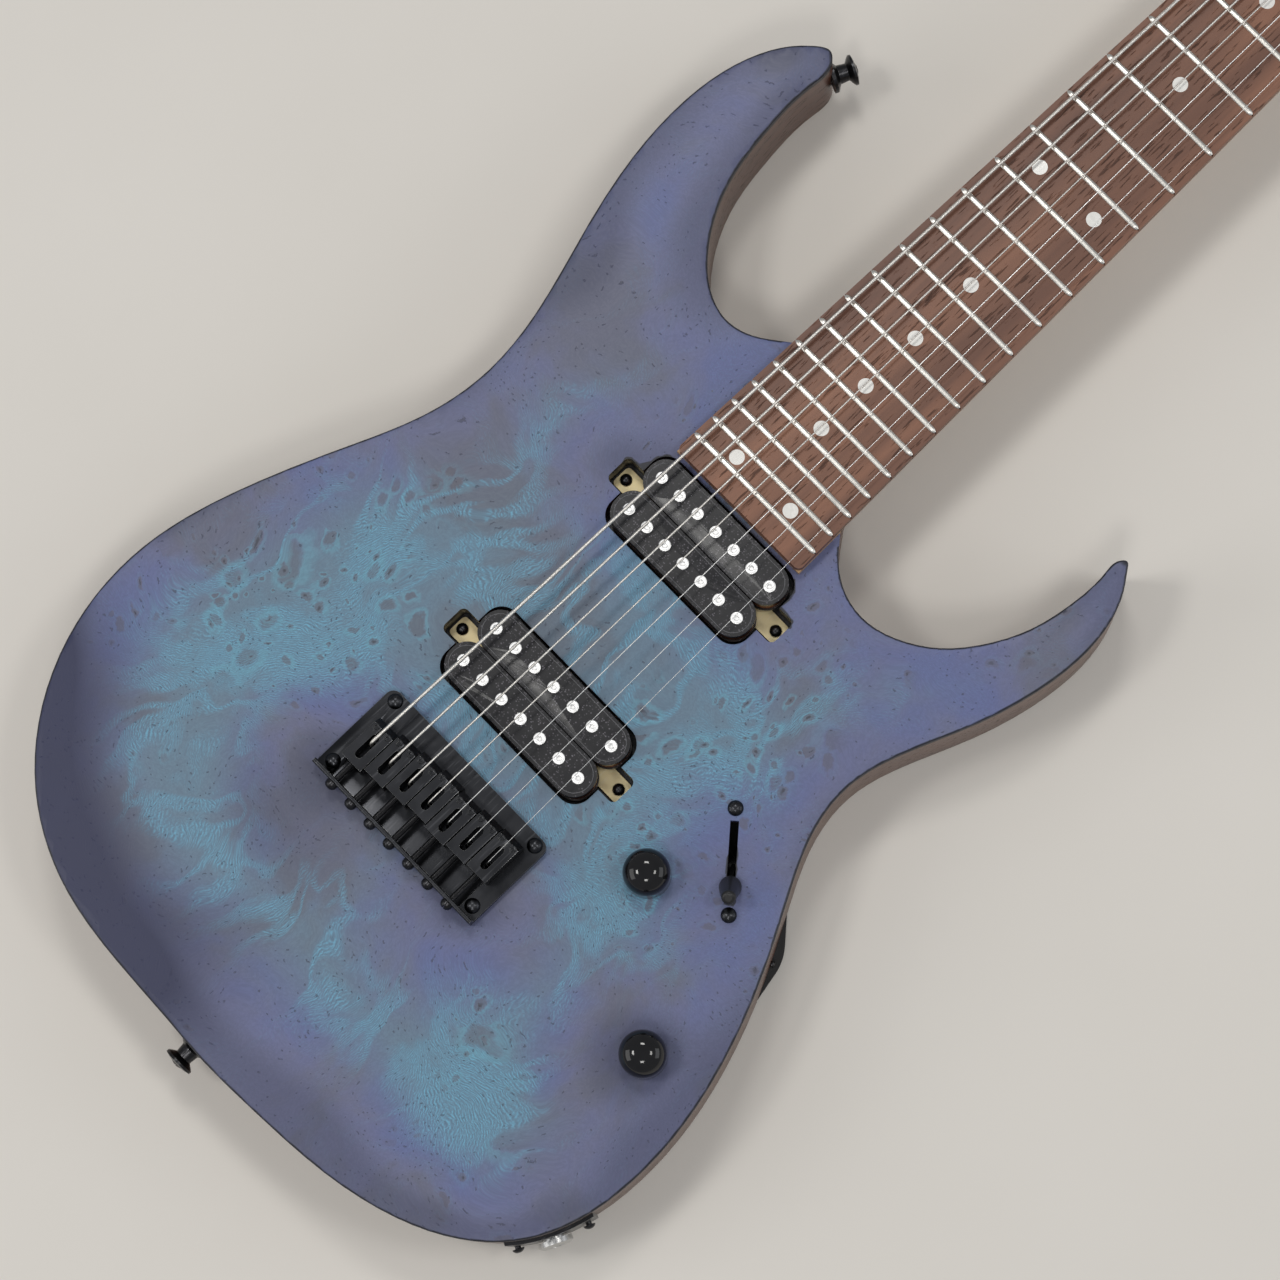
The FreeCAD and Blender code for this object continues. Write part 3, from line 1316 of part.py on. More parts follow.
GEAR = S.post_radius + 1.4
WORM = 2.0
GEAR_GAP = 0.2
WORM_U = GEAR + WORM + GEAR_GAP
WORM_W = -5.5
WAIST = S.post_radius - 0.4
WRAP_W = 7.4
LUG_U = -GEAR - 5.2
LUG = 3.2


def tuner_screw_places():
    return [Vector(along + LUG_U * side, across, -S.head_thick)
            for along, across, side in tuner_places()]


def at_tuner(shape, place):
    along, across, side = place
    if side < 0:
        shape.rotate(Vector(), UP, 180)
    shape.translate(Vector(along, across, 0))
    return on_head(shape)


def tuner_housing():
    """Sealed gear case under the headstock, with one screw lug."""
    under = -S.head_thick
    far = WORM_U + WORM
    shell = cuboid((-GEAR - 2.6, -GEAR - 3.1, under - 11), (far + 2, GEAR + 3.6, under))
    rims = [edge for edge in shell.Edges if edge.CenterOfMass.z < under - 1]
    shell = shell.makeFillet(1.6, rims)
    room = cuboid((-GEAR - 1.2, -GEAR - 1.6, under - 9.8), (far + 0.8, GEAR + 2.2, under - 1.2))
    lug = cylinder(LUG, LUG_THICK, (LUG_U, 0, under - LUG_THICK))
    arm = cuboid((LUG_U, -LUG, under - LUG_THICK), (-GEAR - 1.6, LUG, under))
    openings = [room, cylinder(S.post_radius + S.turn_gap, 3, (0, 0, under - 2)),
                cylinder(TUNER_SCREW[0] + HOLE_PLAY, 6, (LUG_U, 0, under - 4)),
                cylinder(WORM + S.turn_gap, 4, (WORM_U, GEAR + 1.1, under + WORM_W), ACROSS)]
    return shell.fuse([lug, arm]).cut(openings)


def tuner_button():
    """Thumb wing on the worm's shaft."""
    level = WORM_W - S.head_thick
    wing = slab(rounded_bar(16, 12.5, 5.4), level - 3.2, level + 3.2)
    rims = [edge for edge in wing.Edges if abs(edge.CenterOfMass.z - level) > 1]
    wing = wing.makeFillet(2.6, rims)
    wing.translate(Vector(WORM_U, 23.5, 0))
    stem = cylinder(WORM, 26, (WORM_U, -5.2, level), ACROSS)
    collar = cylinder(3.2, 2.5, (WORM_U, 15.4, level), ACROSS)
    return wing.fuse([stem, collar]).removeSplitter()


def make_tuners():
    bushing = turned("bushing", [
        ("post_radius + turn_gap", "-head_thick"), ("post_radius + 1.9", "-head_thick"),
        ("post_radius + 1.9", "0"), ("post_radius + 3.6", "0"), ("post_radius + 3.6", "1"),
        ("post_radius + 2.6", "1.2"), ("post_radius + 2.4", "3.2"),
        ("post_radius + turn_gap", "3.6")])
    post = turned("post", [
        ("0", "-head_thick - 9.6"), ("post_radius - 0.5", "-head_thick - 9.6"),
        ("post_radius - 0.5", "-head_thick - 7.6"), ("post_radius + 1.4", "-head_thick - 7.6"),
        ("post_radius + 1.4", "-head_thick - 3.4"), ("post_radius", "-head_thick - 3.4"),
        ("post_radius", "4.2"), ("post_radius - 0.4", "5"), ("post_radius - 0.4", "9.2"),
        ("post_radius", "10"), ("post_radius", "13.2"), ("post_radius - 0.8", "14"),
        ("0", "14")])
    DOC.recompute()
    post_shape = post.Shape.cut(cylinder(0.85, 12, (-6, 0, WRAP_W), ALONG))
    housing = tuner_housing()
    button = tuner_button()
    housings = []
    bushings = []
    for number, place in enumerate(tuner_places(), start=1):
        housings.append(at_tuner(housing.copy(), place))
        bushings.append(at_tuner(bushing.Shape.copy(), place))
        group(f"tuner_post_{number}", [at_tuner(post_shape.copy(), place)])
        group(f"tuner_button_{number}", [at_tuner(button.copy(), place)])
    group("tuner_housings", housings)
    group("tuner_bushings", bushings)


# ---- strings and leads ----

BALL = 1.9
OVER_BRIDGE = 2.5
OVER_NUT = 10.0
WRAP_PLAY = 0.3


def wrap_start(number, nut_point):
    """Where a string meets its post, with its directions there."""
    along, across, side = tuner_places()[number]
    axis = HEAD_TURN.multVec(UP)
    centre = HEAD_PLACE.multVec(Vector(along, across, WRAP_W))
    reach = WAIST + WRAP_PLAY + STRING_SIZES[number] / 2
    touch = centre
    for _ in range(4):
        ahead = (touch - nut_point).normalize()
        inward = axis.cross(ahead).normalize() * side
        touch = centre - inward * reach
    return touch, ahead, inward, reach, centre


def make_string(number):
    """Ball end, string up through the body, over saddle and nut, round the post."""
    radius = STRING_SIZES[number] / 2
    x = -S.string_hole_at
    slope = (nut_string_z(number) - bridge_string_z(number)) / S.scale_long

    def on_line(at_x):
        return Vector(at_x, string_y(number, at_x), bridge_string_z(number) + slope * at_x)

    ball_z = FERRULE_LONG - 4 - BALL
    nut_point = on_line(NUT_BACK_X - 0.5)
    touch, ahead, inward, reach, centre = wrap_start(number, nut_point)
    points = [(x, string_y(number, x), ball_z), on_line(x), nut_point, touch]
    edges = route(points, [OVER_BRIDGE, OVER_NUT])
    hub = touch + inward * reach
    spokes = [inward * -1, ahead, inward, ahead * -1]
    for first, second in zip(spokes, spokes[1:]):
        between = (first + second).normalize()
        edges.append(Part.Arc(hub + first * reach, hub + between * reach,
                              hub + second * reach).toShape())
    string = swept(edges, radius)
    ball = Part.makeSphere(BALL, Vector(*points[0]))
    solids = [string.fuse(ball)]
    turns = 1 if radius > 0.4 else 3
    along, across, _ = tuner_places()[number]
    for turn in range(turns):
        ring = Part.makeTorus(WAIST + WRAP_PLAY + radius, radius)
        down = WRAP_W - 0.7 - (turn + 1) * (2 * radius + 0.05)
        ring.translate(Vector(along, across, down))
        solids.append(on_head(ring))
    return solids


def make_strings():
    solids = []
    for number in range(STRINGS):
        solids += make_string(number)
    group("strings", solids)


def board_point(along, high):
    """A solder point on the selector's contact board."""
    return SELECTOR + SLOT_LINE * along + SLOT_SIDE * (7.0 + LEAD) + UP * high


LEAD_GAP = 0.7


def make_wiring():
    leads = []
    for name, along in (("bridge", -4.0), ("neck", 9.0)):
        well_x, well_y = LEAD_WELLS[name]
        end_x, end_y = CHANNEL_ENDS[name]
        points = [(well_x, well_y, PICKUP_FLOOR), (well_x, well_y, CHANNEL_Z),
                  (end_x, end_y, CHANNEL_Z), board_point(along, CHANNEL_Z - 1)]
        leads.append((points, [4.0, 6.0]))
    case_low = CEILING - CASE_TALL - LEAD_GAP
    low = case_low - 7
    volume_points = [board_point(-15, low), (VOLUME.x + 4, VOLUME.y - 14, low),
                     (VOLUME.x + 1, VOLUME.y - 7, low), (VOLUME.x + 1, VOLUME.y - 6.8, case_low)]
    leads.append((volume_points, [4.0, 3.0]))
    tone_points = [(VOLUME.x - 6, VOLUME.y - 2, case_low), (VOLUME.x - 8, VOLUME.y - 4, low),
                   (TONE.x + 5, TONE.y + 4, low), (TONE.x + 3, TONE.y + 2, case_low)]
    leads.append((tone_points, [4.0, 4.0]))
    jack_end = JACK - JACK_OUT * (SOCKET_BARREL - JACK_PLATE)
    jack_points = [(TONE.x - 4, TONE.y - 2, case_low), (TONE.x - 9, TONE.y - 1.4, JACK.z + 1),
                   (-66, -123.0, JACK.z), jack_end - JACK_OUT * 4 + UP * 6, jack_end + UP * 6]
    leads.append((jack_points, [3.5, 6.0, 3.0]))
    solids = [swept(route(points, bends), LEAD) for points, bends in leads]
    capacitor = cylinder(3.2, 9, (TONE.x + 2, TONE.y - 9.5, case_low - 3.3), ALONG)
    group("wiring", solids + [capacitor])


# ---- build, check and write ----

def check_document():
    DOC.recompute()
    for thing in DOC.Objects:
        if "Invalid" in thing.State or "Error" in thing.State:
            raise RuntimeError(f"{thing.Label} did not build: {thing.State}")
    for thing in PIECES:
        if thing.Shape.isNull() or not thing.Shape.isValid():
            raise RuntimeError(f"{thing.Label} has no valid shape")


def write_parts():
    os.makedirs("parts", exist_ok=True)
    for thing in PIECES:
        thing.Shape.exportStep(f"parts/{thing.Label}.step")
        print(thing.Label, len(thing.Shape.Solids), round(thing.Shape.Volume, 1))


make_body()
make_neck()
make_truss_rod()
make_truss_cover()
make_fretboard()
make_nut()
make_bridge_plate()
for saddle in range(STRINGS):
    make_saddle(saddle)
    make_tune_screw(saddle)
make_screws()
make_neck_screws()
make_string_ferrules()
make_pickups()
make_pots()
make_knob("volume_knob", VOLUME)
make_knob("tone_knob", TONE)
make_selector_frame()
make_selector_lever()
make_control_cover()
make_jack_plate()
make_jack_socket()
make_strap_buttons()
make_tuners()
make_strings()
make_wiring()
check_document()
write_parts()
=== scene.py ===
import json
import math

import bmesh
import bpy
import numpy
from mathutils import Matrix, Vector
from mathutils.kdtree import KDTree


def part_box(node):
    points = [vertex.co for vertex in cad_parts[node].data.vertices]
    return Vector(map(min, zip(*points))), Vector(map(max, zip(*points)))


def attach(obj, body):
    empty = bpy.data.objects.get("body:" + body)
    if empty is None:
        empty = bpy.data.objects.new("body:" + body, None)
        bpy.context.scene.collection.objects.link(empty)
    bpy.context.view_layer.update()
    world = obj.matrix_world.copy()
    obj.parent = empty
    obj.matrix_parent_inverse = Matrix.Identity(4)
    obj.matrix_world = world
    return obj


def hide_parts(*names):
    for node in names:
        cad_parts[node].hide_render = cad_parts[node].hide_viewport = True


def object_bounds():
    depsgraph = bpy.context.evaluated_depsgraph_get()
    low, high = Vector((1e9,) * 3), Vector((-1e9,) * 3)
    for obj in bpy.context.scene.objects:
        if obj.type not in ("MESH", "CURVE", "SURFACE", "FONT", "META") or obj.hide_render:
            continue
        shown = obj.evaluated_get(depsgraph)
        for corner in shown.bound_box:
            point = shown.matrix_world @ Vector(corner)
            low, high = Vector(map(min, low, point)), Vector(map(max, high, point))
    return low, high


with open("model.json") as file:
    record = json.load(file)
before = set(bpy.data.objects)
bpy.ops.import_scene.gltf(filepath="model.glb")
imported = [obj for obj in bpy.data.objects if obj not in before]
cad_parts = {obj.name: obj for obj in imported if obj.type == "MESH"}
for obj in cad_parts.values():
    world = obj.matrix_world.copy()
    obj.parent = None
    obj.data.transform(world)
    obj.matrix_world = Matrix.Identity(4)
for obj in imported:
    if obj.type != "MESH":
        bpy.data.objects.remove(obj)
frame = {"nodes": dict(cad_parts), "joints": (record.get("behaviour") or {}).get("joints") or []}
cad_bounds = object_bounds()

# ---- Floor, light and camera ----
# A pale matt floor in a dim room, lit by four square ceiling panels and two
# wide side lamps. The panels are the points of light in the polished pieces.

MM = 0.001
nodes = frame["nodes"]
scene = bpy.context.scene
scene.view_settings.view_transform = "Standard"


def link(thing):
    scene.collection.objects.link(thing)
    return thing


def plug(tree, socket, value):
    """Give a socket a plain value, or join it to another node's output."""
    if isinstance(value, bpy.types.NodeSocket):
        tree.links.new(value, socket)
    else:
        socket.default_value = value


def add(tree, kind, values=None, **settings):
    """A node with its settings and its inputs, which are numbers or other sockets."""
    made = tree.nodes.new(kind)
    for name, value in settings.items():
        setattr(made, name, value)
    for name, value in (values or {}).items():
        plug(tree, made.inputs[name], value)
    return made


def calc(tree, operation, *values):
    made = add(tree, "ShaderNodeMath", dict(enumerate(values)), operation=operation)
    return made.outputs[0]


def times(tree, first, second):
    return calc(tree, "MULTIPLY", first, second)


def scaled(tree, value, factor, more):
    return calc(tree, "MULTIPLY_ADD", value, factor, more)


def parts_of(tree, vector):
    """The three numbers of a vector or a colour."""
    return add(tree, "ShaderNodeSeparateXYZ", {0: vector}).outputs


def way_up(tree):
    """How far a face looks up, from -1 to 1."""
    return parts_of(tree, tree.nodes.new("ShaderNodeNewGeometry").outputs["True Normal"])[2]


def fade(tree, value, start, end, low=0.0, high=1.0):
    """A smooth step from low to high as the value goes from start to end."""
    made = add(tree, "ShaderNodeMapRange", {
        "Value": value, "From Min": start, "From Max": end, "To Min": low, "To Max": high},
        interpolation_type="SMOOTHSTEP")
    return made.outputs[0]


def blended(tree, share, first, second):
    """Two colours mixed; each is a socket or three numbers."""
    made = add(tree, "ShaderNodeMix", data_type="RGBA")
    for index, value in ((0, share), (6, first), (7, second)):
        plug(tree, made.inputs[index], (*value, 1) if isinstance(value, tuple) else value)
    return made.outputs[2]


def layered(tree, tone, *coats):
    """A colour with others laid over it in turn, each as (share, colour)."""
    for share, colour in coats:
        tone = blended(tree, share, tone, colour)
    return tone


def voronoi(tree, place, scale, **settings):
    """Distance to scattered points, and three random numbers for each of them."""
    made = add(tree, "ShaderNodeTexVoronoi", {"Vector": place, "Scale": scale}, **settings)
    return made.outputs["Distance"], parts_of(tree, made.outputs["Color"])


def noise(tree, place, scale, detail=2.0, roughness=0.5, distortion=0.0):
    return add(tree, "ShaderNodeTexNoise", {
        "Vector": place, "Scale": scale, "Detail": detail, "Roughness": roughness,
        "Distortion": distortion})


def stretched(tree, place, size, turn=0.0):
    """The same place with its axes scaled, so that a pattern is drawn out."""
    return add(tree, "ShaderNodeMapping", {
        "Vector": place, "Scale": size, "Rotation": (0, 0, turn)}).outputs[0]


def material(name, colour, roughness, metallic=0.0, **settings):
    """A material, its tree, its shader's inputs and the place on the object."""
    made = bpy.data.materials.new(name)
    made.use_nodes = True
    tree = made.node_tree
    shader = tree.nodes["Principled BSDF"].inputs
    shader["Base Color"].default_value = (*colour, 1)
    shader["Roughness"].default_value = roughness
    shader["Metallic"].default_value = metallic
    for socket, value in settings.items():
        shader[socket.replace("_", " ")].default_value = value
    place = tree.nodes.new("ShaderNodeTexCoord").outputs["Object"]
    return made, tree, shader, place


def surface(tree, shader, tone, roughness):
    """Feed a colour and a roughness to the shader."""
    tree.links.new(tone, shader["Base Color"])
    tree.links.new(roughness, shader["Roughness"])


def raised(tree, shader, height, distance, strength=1.0):
    """Feed a height to the shader as fine relief."""
    bump = add(tree, "ShaderNodeBump", {
        "Height": height, "Distance": distance, "Strength": strength})
    tree.links.new(bump.outputs[0], shader["Normal"])


floor_paint, tree, shader, place = material("pale_floor", (0.70, 0.67, 0.62), 0.75)
mottle = noise(tree, place, 9.0, 4.0).outputs[0]
tree.links.new(blended(tree, mottle, (0.68, 0.65, 0.60), (0.72, 0.69, 0.645)),
               shader["Base Color"])

low = cad_bounds[0]
FLOOR_GAP = 0.4 * MM
FLOOR_SIZE = 8
bpy.ops.mesh.primitive_plane_add(size=FLOOR_SIZE, location=(0.2, 0, low[2] - FLOOR_GAP))
floor = bpy.context.object
floor.name = "floor"
floor.data.materials.append(floor_paint)


def lamp(name, place, aim, wide, tall, power, colour):
    """A rectangular lamp that looks at a point."""
    light = bpy.data.lights.new(name, "AREA")
    light.shape = "RECTANGLE"
    light.size = wide
    light.size_y = tall
    light.energy = power
    light.color = colour
    holder = link(bpy.data.objects.new(name, light))
    holder.location = place
    holder.rotation_euler = (Vector(aim) - Vector(place)).to_track_quat("-Z", "Y").to_euler()


PANEL_Z = 2.1
PANEL_POWER = {(-1, -1): 7.0, (-1, 1): 9.0, (1, -1): 6.0, (1, 1): 8.0}
PANEL_APART = 0.72
PANEL_SIZE = 0.42
CENTRE = Vector((0.03, -0.02, 0.0))
for along in (-1, 1):
    for across in (-1, 1):
        place = CENTRE + Vector((along * PANEL_APART, across * PANEL_APART, PANEL_Z))
        lamp(f"ceiling_panel_{along}_{across}", place, CENTRE, PANEL_SIZE, PANEL_SIZE,
             PANEL_POWER[along, across], (1.0, 0.985, 0.955))
lamp("side_lamp_left", (-1.7, 1.2, 1.2), CENTRE, 1.6, 1.2, 11, (1.0, 0.99, 0.97))
lamp("side_lamp_right", (1.5, -1.5, 1.0), CENTRE, 1.4, 1.0, 6, (0.95, 0.97, 1.0))

world = bpy.data.worlds.new("room")
scene.world = world
world.use_nodes = True
sky = world.node_tree.nodes["Background"].inputs
sky["Color"].default_value = (0.94, 0.96, 1.0, 1)
sky["Strength"].default_value = 0.30

lens = bpy.data.cameras.new("camera")
FOCAL_LENGTH = 109.92
lens.lens = FOCAL_LENGTH
lens.sensor_width = 36
camera = link(bpy.data.objects.new("camera", lens))
right = Vector((0.719397, -0.693025, -0.046748))
above = Vector((0.690036, 0.705347, 0.162285))
turned = Matrix((right, above, right.cross(above))).transposed().to_4x4()
EYE = (-0.03153, -0.23724, 1.55215)
camera.matrix_world = Matrix.Translation(EYE) @ turned
scene.camera = camera


# ---- Body wood ----
# The back and sides are one thick slab of open-pored wood with a dark reddish
# brown stain and a thin satin lacquer. Its pockets are brushed black inside.

def new_group(name, inputs, outputs, kind="ShaderNodeTree"):
    """An empty node group, with what comes in and what goes out."""
    group = bpy.data.node_groups.new(name, kind)
    for label, socket, value in inputs:
        made = group.interface.new_socket(label, in_out="INPUT",
                                          socket_type="NodeSocket" + socket)
        if value is not None:
            made.default_value = value
    for label, socket in outputs:
        group.interface.new_socket(label, in_out="OUTPUT", socket_type="NodeSocket" + socket)
    start = group.nodes.new("NodeGroupInput").outputs
    end = group.nodes.new("NodeGroupOutput").inputs
    return group, start, end


def placed(tree, group, **values):
    """One group in a material, with that material's own values."""
    made = tree.nodes.new("ShaderNodeGroup")
    made.node_tree = group
    for name, value in values.items():
        plug(tree, made.inputs[name.replace("_", " ")], value)
    return made.outputs


wood_grain, start, end = new_group(
    "wood_grain",
    [("Place", "Vector", None), ("Figure Scale", "Float", 40.0), ("Pore Scale", "Float", 900.0),
     ("Pore Amount", "Float", 0.5)],
    [("Figure", "Float"), ("Streak", "Float"), ("Pores", "Float")])


def along_grain(length, scale, *shape):
    """Noise drawn out along the wood; a smaller length draws it further."""
    drawn = stretched(wood_grain, start["Place"], (length, 1.0, 1.0))
    return noise(wood_grain, drawn, scale, *shape).outputs[0]


bends = along_grain(0.08, start["Figure Scale"], 3.0, 0.55, 0.4)
wood_grain.links.new(bends, end["Figure"])
streaks = along_grain(0.03, times(wood_grain, start["Figure Scale"], 6.0), 4.0, 0.6)
wood_grain.links.new(streaks, end["Streak"])
fine = along_grain(0.10, start["Pore Scale"], 2.0, 0.5)
grouped = along_grain(0.2, 60.0, 2.0)
over = calc(wood_grain, "SUBTRACT", scaled(wood_grain, grouped, -0.12, 0.52), fine)
pores = times(wood_grain, fade(wood_grain, over, 0.06, 0.14), start["Pore Amount"])
wood_grain.links.new(pores, end["Pores"])

edge_wear, start, end = new_group(
    "edge_wear",
    [("Place", "Vector", None), ("Reach", "Float", 0.0006), ("Scale", "Float", 120.0)],
    [("Worn", "Float")])
corner = add(edge_wear, "ShaderNodeBevel", {"Radius": start["Reach"]}, samples=4)
true_way = edge_wear.nodes.new("ShaderNodeNewGeometry").outputs["Normal"]
turned_by = add(edge_wear, "ShaderNodeVectorMath", {0: corner.outputs[0], 1: true_way},
                operation="DOT_PRODUCT").outputs["Value"]
chips = noise(edge_wear, start["Place"], start["Scale"], 4.0, 0.65).outputs[0]
bare = fade(edge_wear, turned_by, 0.985, 0.86)
edge_wear.links.new(times(edge_wear, bare, fade(edge_wear, chips, 0.3, 0.6, 0.25)),
                    end["Worn"])

# middle and half size of each pickup's pocket, along and across the strings
POCKETS = ((43.7, 19.3, 49.5), (131.6, 19.3, 47.4))
POCKET_RIM = 44 * MM
pocket_paint, start, end = new_group("pocket_paint", [("Place", "Vector", None)],
                                     [("Painted", "Float")])
apart = parts_of(pocket_paint, start["Place"])
inside = 0.0
for centre, reach_x, reach_y in POCKETS:
    off_x = calc(pocket_paint, "ABSOLUTE", calc(pocket_paint, "SUBTRACT", apart[0], centre * MM))
    off_y = calc(pocket_paint, "ABSOLUTE", apart[1])
    within = times(pocket_paint, calc(pocket_paint, "LESS_THAN", off_x, reach_x * MM),
                   calc(pocket_paint, "LESS_THAN", off_y, reach_y * MM))
    inside = calc(pocket_paint, "MAXIMUM", inside, within)
below = calc(pocket_paint, "LESS_THAN", apart[2], POCKET_RIM)
steep = calc(pocket_paint, "LESS_THAN", way_up(pocket_paint), 0.5)
wall = calc(pocket_paint, "MAXIMUM", below, steep)
pocket_paint.links.new(times(pocket_paint, inside, wall), end["Painted"])


def dress(finish, *names):
    """Give CAD nodes a finish; their shape stays."""
    for name in names:
        thing = nodes[name]
        if not thing.data.materials:
            thing.data.materials.append(finish)
        for socket in thing.material_slots:
            socket.material = finish


core_stain, tree, shader, place = material("core_stain", (0.10, 0.035, 0.018), 0.42,
                                           Coat_Weight=0.15, Coat_Roughness=0.3)
grain = placed(tree, wood_grain, Place=place, Figure_Scale=22.0, Pore_Scale=1100.0,
               Pore_Amount=0.8)
tone = blended(tree, grain["Figure"], (0.062, 0.020, 0.011), (0.150, 0.052, 0.025))
tone = layered(
    tree, tone,
    (fade(tree, grain["Streak"], 0.40, 0.70, 0.0, 0.5), (0.040, 0.013, 0.008)),
    (grain["Pores"], (0.012, 0.005, 0.004)),
    (placed(tree, pocket_paint, Place=place)["Painted"], (0.008, 0.008, 0.010)))
surface(tree, shader, tone, scaled(tree, grain["Pores"], 0.25, 0.36))
raised(tree, shader, times(tree, grain["Pores"], -1.0), 0.0002, 0.5)
dress(core_stain, "body_core")


# ---- Figured top ----
# A thin plate of burl: curly fibres flow round clusters of small knots. It is
# stained sky blue in the middle and violet to navy towards its black edge.

def merged_copy(node, flat_angle=0.3):
    """A CAD node's surface as one mesh, with its flat faces whole again."""
    shape = bmesh.new()
    shape.from_mesh(nodes[node].data)
    bmesh.ops.remove_doubles(shape, verts=shape.verts, dist=2e-6)
    bmesh.ops.dissolve_limit(shape, angle_limit=math.radians(flat_angle), verts=shape.verts,
                             edges=shape.edges)
    return shape


def to_mesh(name, shape, sharp=35):
    """A shape as a smooth mesh, with edges sharper than that angle kept."""
    mesh = bpy.data.meshes.new(name)
    shape.to_mesh(mesh)
    shape.free()
    for face in mesh.polygons:
        face.use_smooth = True
    mesh.set_sharp_from_angle(angle=math.radians(sharp))
    return mesh


def show(name, mesh, finish, body="root", instead_of=()):
    """Put a finished mesh in the scene as a piece of the guitar."""
    mesh.name = name
    mesh.materials.clear()
    mesh.materials.append(finish)
    thing = link(bpy.data.objects.new(name, mesh))
    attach(thing, body)
    if instead_of:
        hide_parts(*instead_of)
    return thing


GRID = 4 * MM
EDGE_STEP = 1.5 * MM
# the neck's place: from, to, half its width; and the round that holds the pockets
NECK_JOINT = (150 * MM, 245 * MM, 36 * MM)
INNER_MIDDLE = 60 * MM
INNER_RADIUS = 85 * MM
INNER_SQUEEZE = 0.9


def on_under_rim(edge):
    """Whether a level face below meets an upright one at this edge."""
    if len(edge.link_faces) != 2:
        return False
    tilts = [face.normal.z for face in edge.link_faces]
    return min(tilts) < -0.9 and min(abs(tilt) for tilt in tilts) < 0.5


top = merged_copy("top_cap")
rim = []
for edge in filter(on_under_rim, top.edges):
    first, second = (vert.co for vert in edge.verts)
    for step in range(int(edge.calc_length() / EDGE_STEP) + 1):
        point = first.lerp(second, min(1.0, step * EDGE_STEP / max(edge.calc_length(), 1e-9)))
        outer = math.hypot(point.x - INNER_MIDDLE, point.y * INNER_SQUEEZE) > INNER_RADIUS
        joint = NECK_JOINT[0] < point.x < NECK_JOINT[1] and abs(point.y) < NECK_JOINT[2]
        if outer and not joint:
            rim.append(point.copy())
low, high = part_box("top_cap")
for axis, normal in ((0, (1, 0, 0)), (1, (0, 1, 0))):
    count = int((high[axis] - low[axis]) / GRID)
    for step in range(1, count + 1):
        cut_at = [0.0, 0.0, 0.0]
        cut_at[axis] = low[axis] + step * GRID
        bmesh.ops.bisect_plane(top, geom=top.verts[:] + top.edges[:] + top.faces[:],
                               plane_co=cut_at, plane_no=normal)
tree_of_rim = KDTree(len(rim))
for index, point in enumerate(rim):
    tree_of_rim.insert((point.x, point.y, 0), index)
tree_of_rim.balance()
mesh = to_mesh("burl_top", top)
spread = [tree_of_rim.find((vert.co.x, vert.co.y, 0))[2] for vert in mesh.vertices]
mesh.attributes.new("rim_distance", "FLOAT", "POINT").data.foreach_set("value", spread)

burl_finish, tree, shader, place = material("burl_finish", (0.12, 0.20, 0.28), 0.42)
rim_away = add(tree, "ShaderNodeAttribute", attribute_name="rim_distance").outputs["Fac"]
apart = parts_of(tree, place)


def carried(vector, reach, onto):
    """A place moved by a random vector, at most half the reach each way."""
    swing = add(tree, "ShaderNodeVectorMath", {0: vector, 1: (0.5, 0.5, 0.5)},
                operation="SUBTRACT").outputs[0]
    return add(tree, "ShaderNodeVectorMath", {0: swing, 1: (reach, reach, 0.0), 2: onto},
               operation="MULTIPLY_ADD").outputs[0]


flow = carried(noise(tree, place, 14.0, 3.0).outputs["Color"], 0.055, place)
cloud = noise(tree, flow, 17.0, 4.0, 0.55).outputs[0]
broad = noise(tree, place, 8.0, 2.0).outputs[0]
# how far the sky blue reaches
away = scaled(tree, calc(tree, "SUBTRACT", broad, 0.5), 0.08, rim_away)
sky_share = times(tree, fade(tree, away, 0.014, 0.058), fade(tree, apart[0], 0.200, 0.110))
# bands of short curly fibres, which lie across the bands
band_noise = noise(tree, stretched(tree, flow, (1.0, 1.9, 1.0), 0.7), 22.0, 2.0, 0.45, 0.8)
band_line = calc(tree, "ABSOLUTE", calc(tree, "SUBTRACT", band_noise.outputs[0], 0.5))
curly_band = fade(tree, band_line, 0.075, 0.012)
lively = calc(tree, "MAXIMUM", times(tree, curly_band, 0.85), fade(tree, cloud, 0.52, 0.66))
way = times(tree, noise(tree, flow, 11.0, 1.0).outputs[0], 8.0)
way = scaled(tree, noise(tree, flow, 420.0, 3.0, 0.7).outputs[0], 3.4, way)
fibres, threads = (
    add(tree, "ShaderNodeTexGabor", {
        "Vector": flow, "Scale": scale, "Frequency": frequency, "Anisotropy": straight,
        "Orientation": way}).outputs[0]
    for scale, frequency, straight in ((330.0, 2.6, 0.9), (620.0, 2.2, 0.8)))
curl = scaled(tree, threads, 0.45, times(tree, fibres, 0.55))
bright = times(tree, fade(tree, curl, 0.44, 0.68), lively)
# clusters of small knots
flock = fade(tree, noise(tree, place, 13.0, 2.0).outputs[0], 0.53, 0.61)
shaken = carried(noise(tree, place, 210.0, 3.0, 0.6).outputs["Color"], 0.0045, flow)


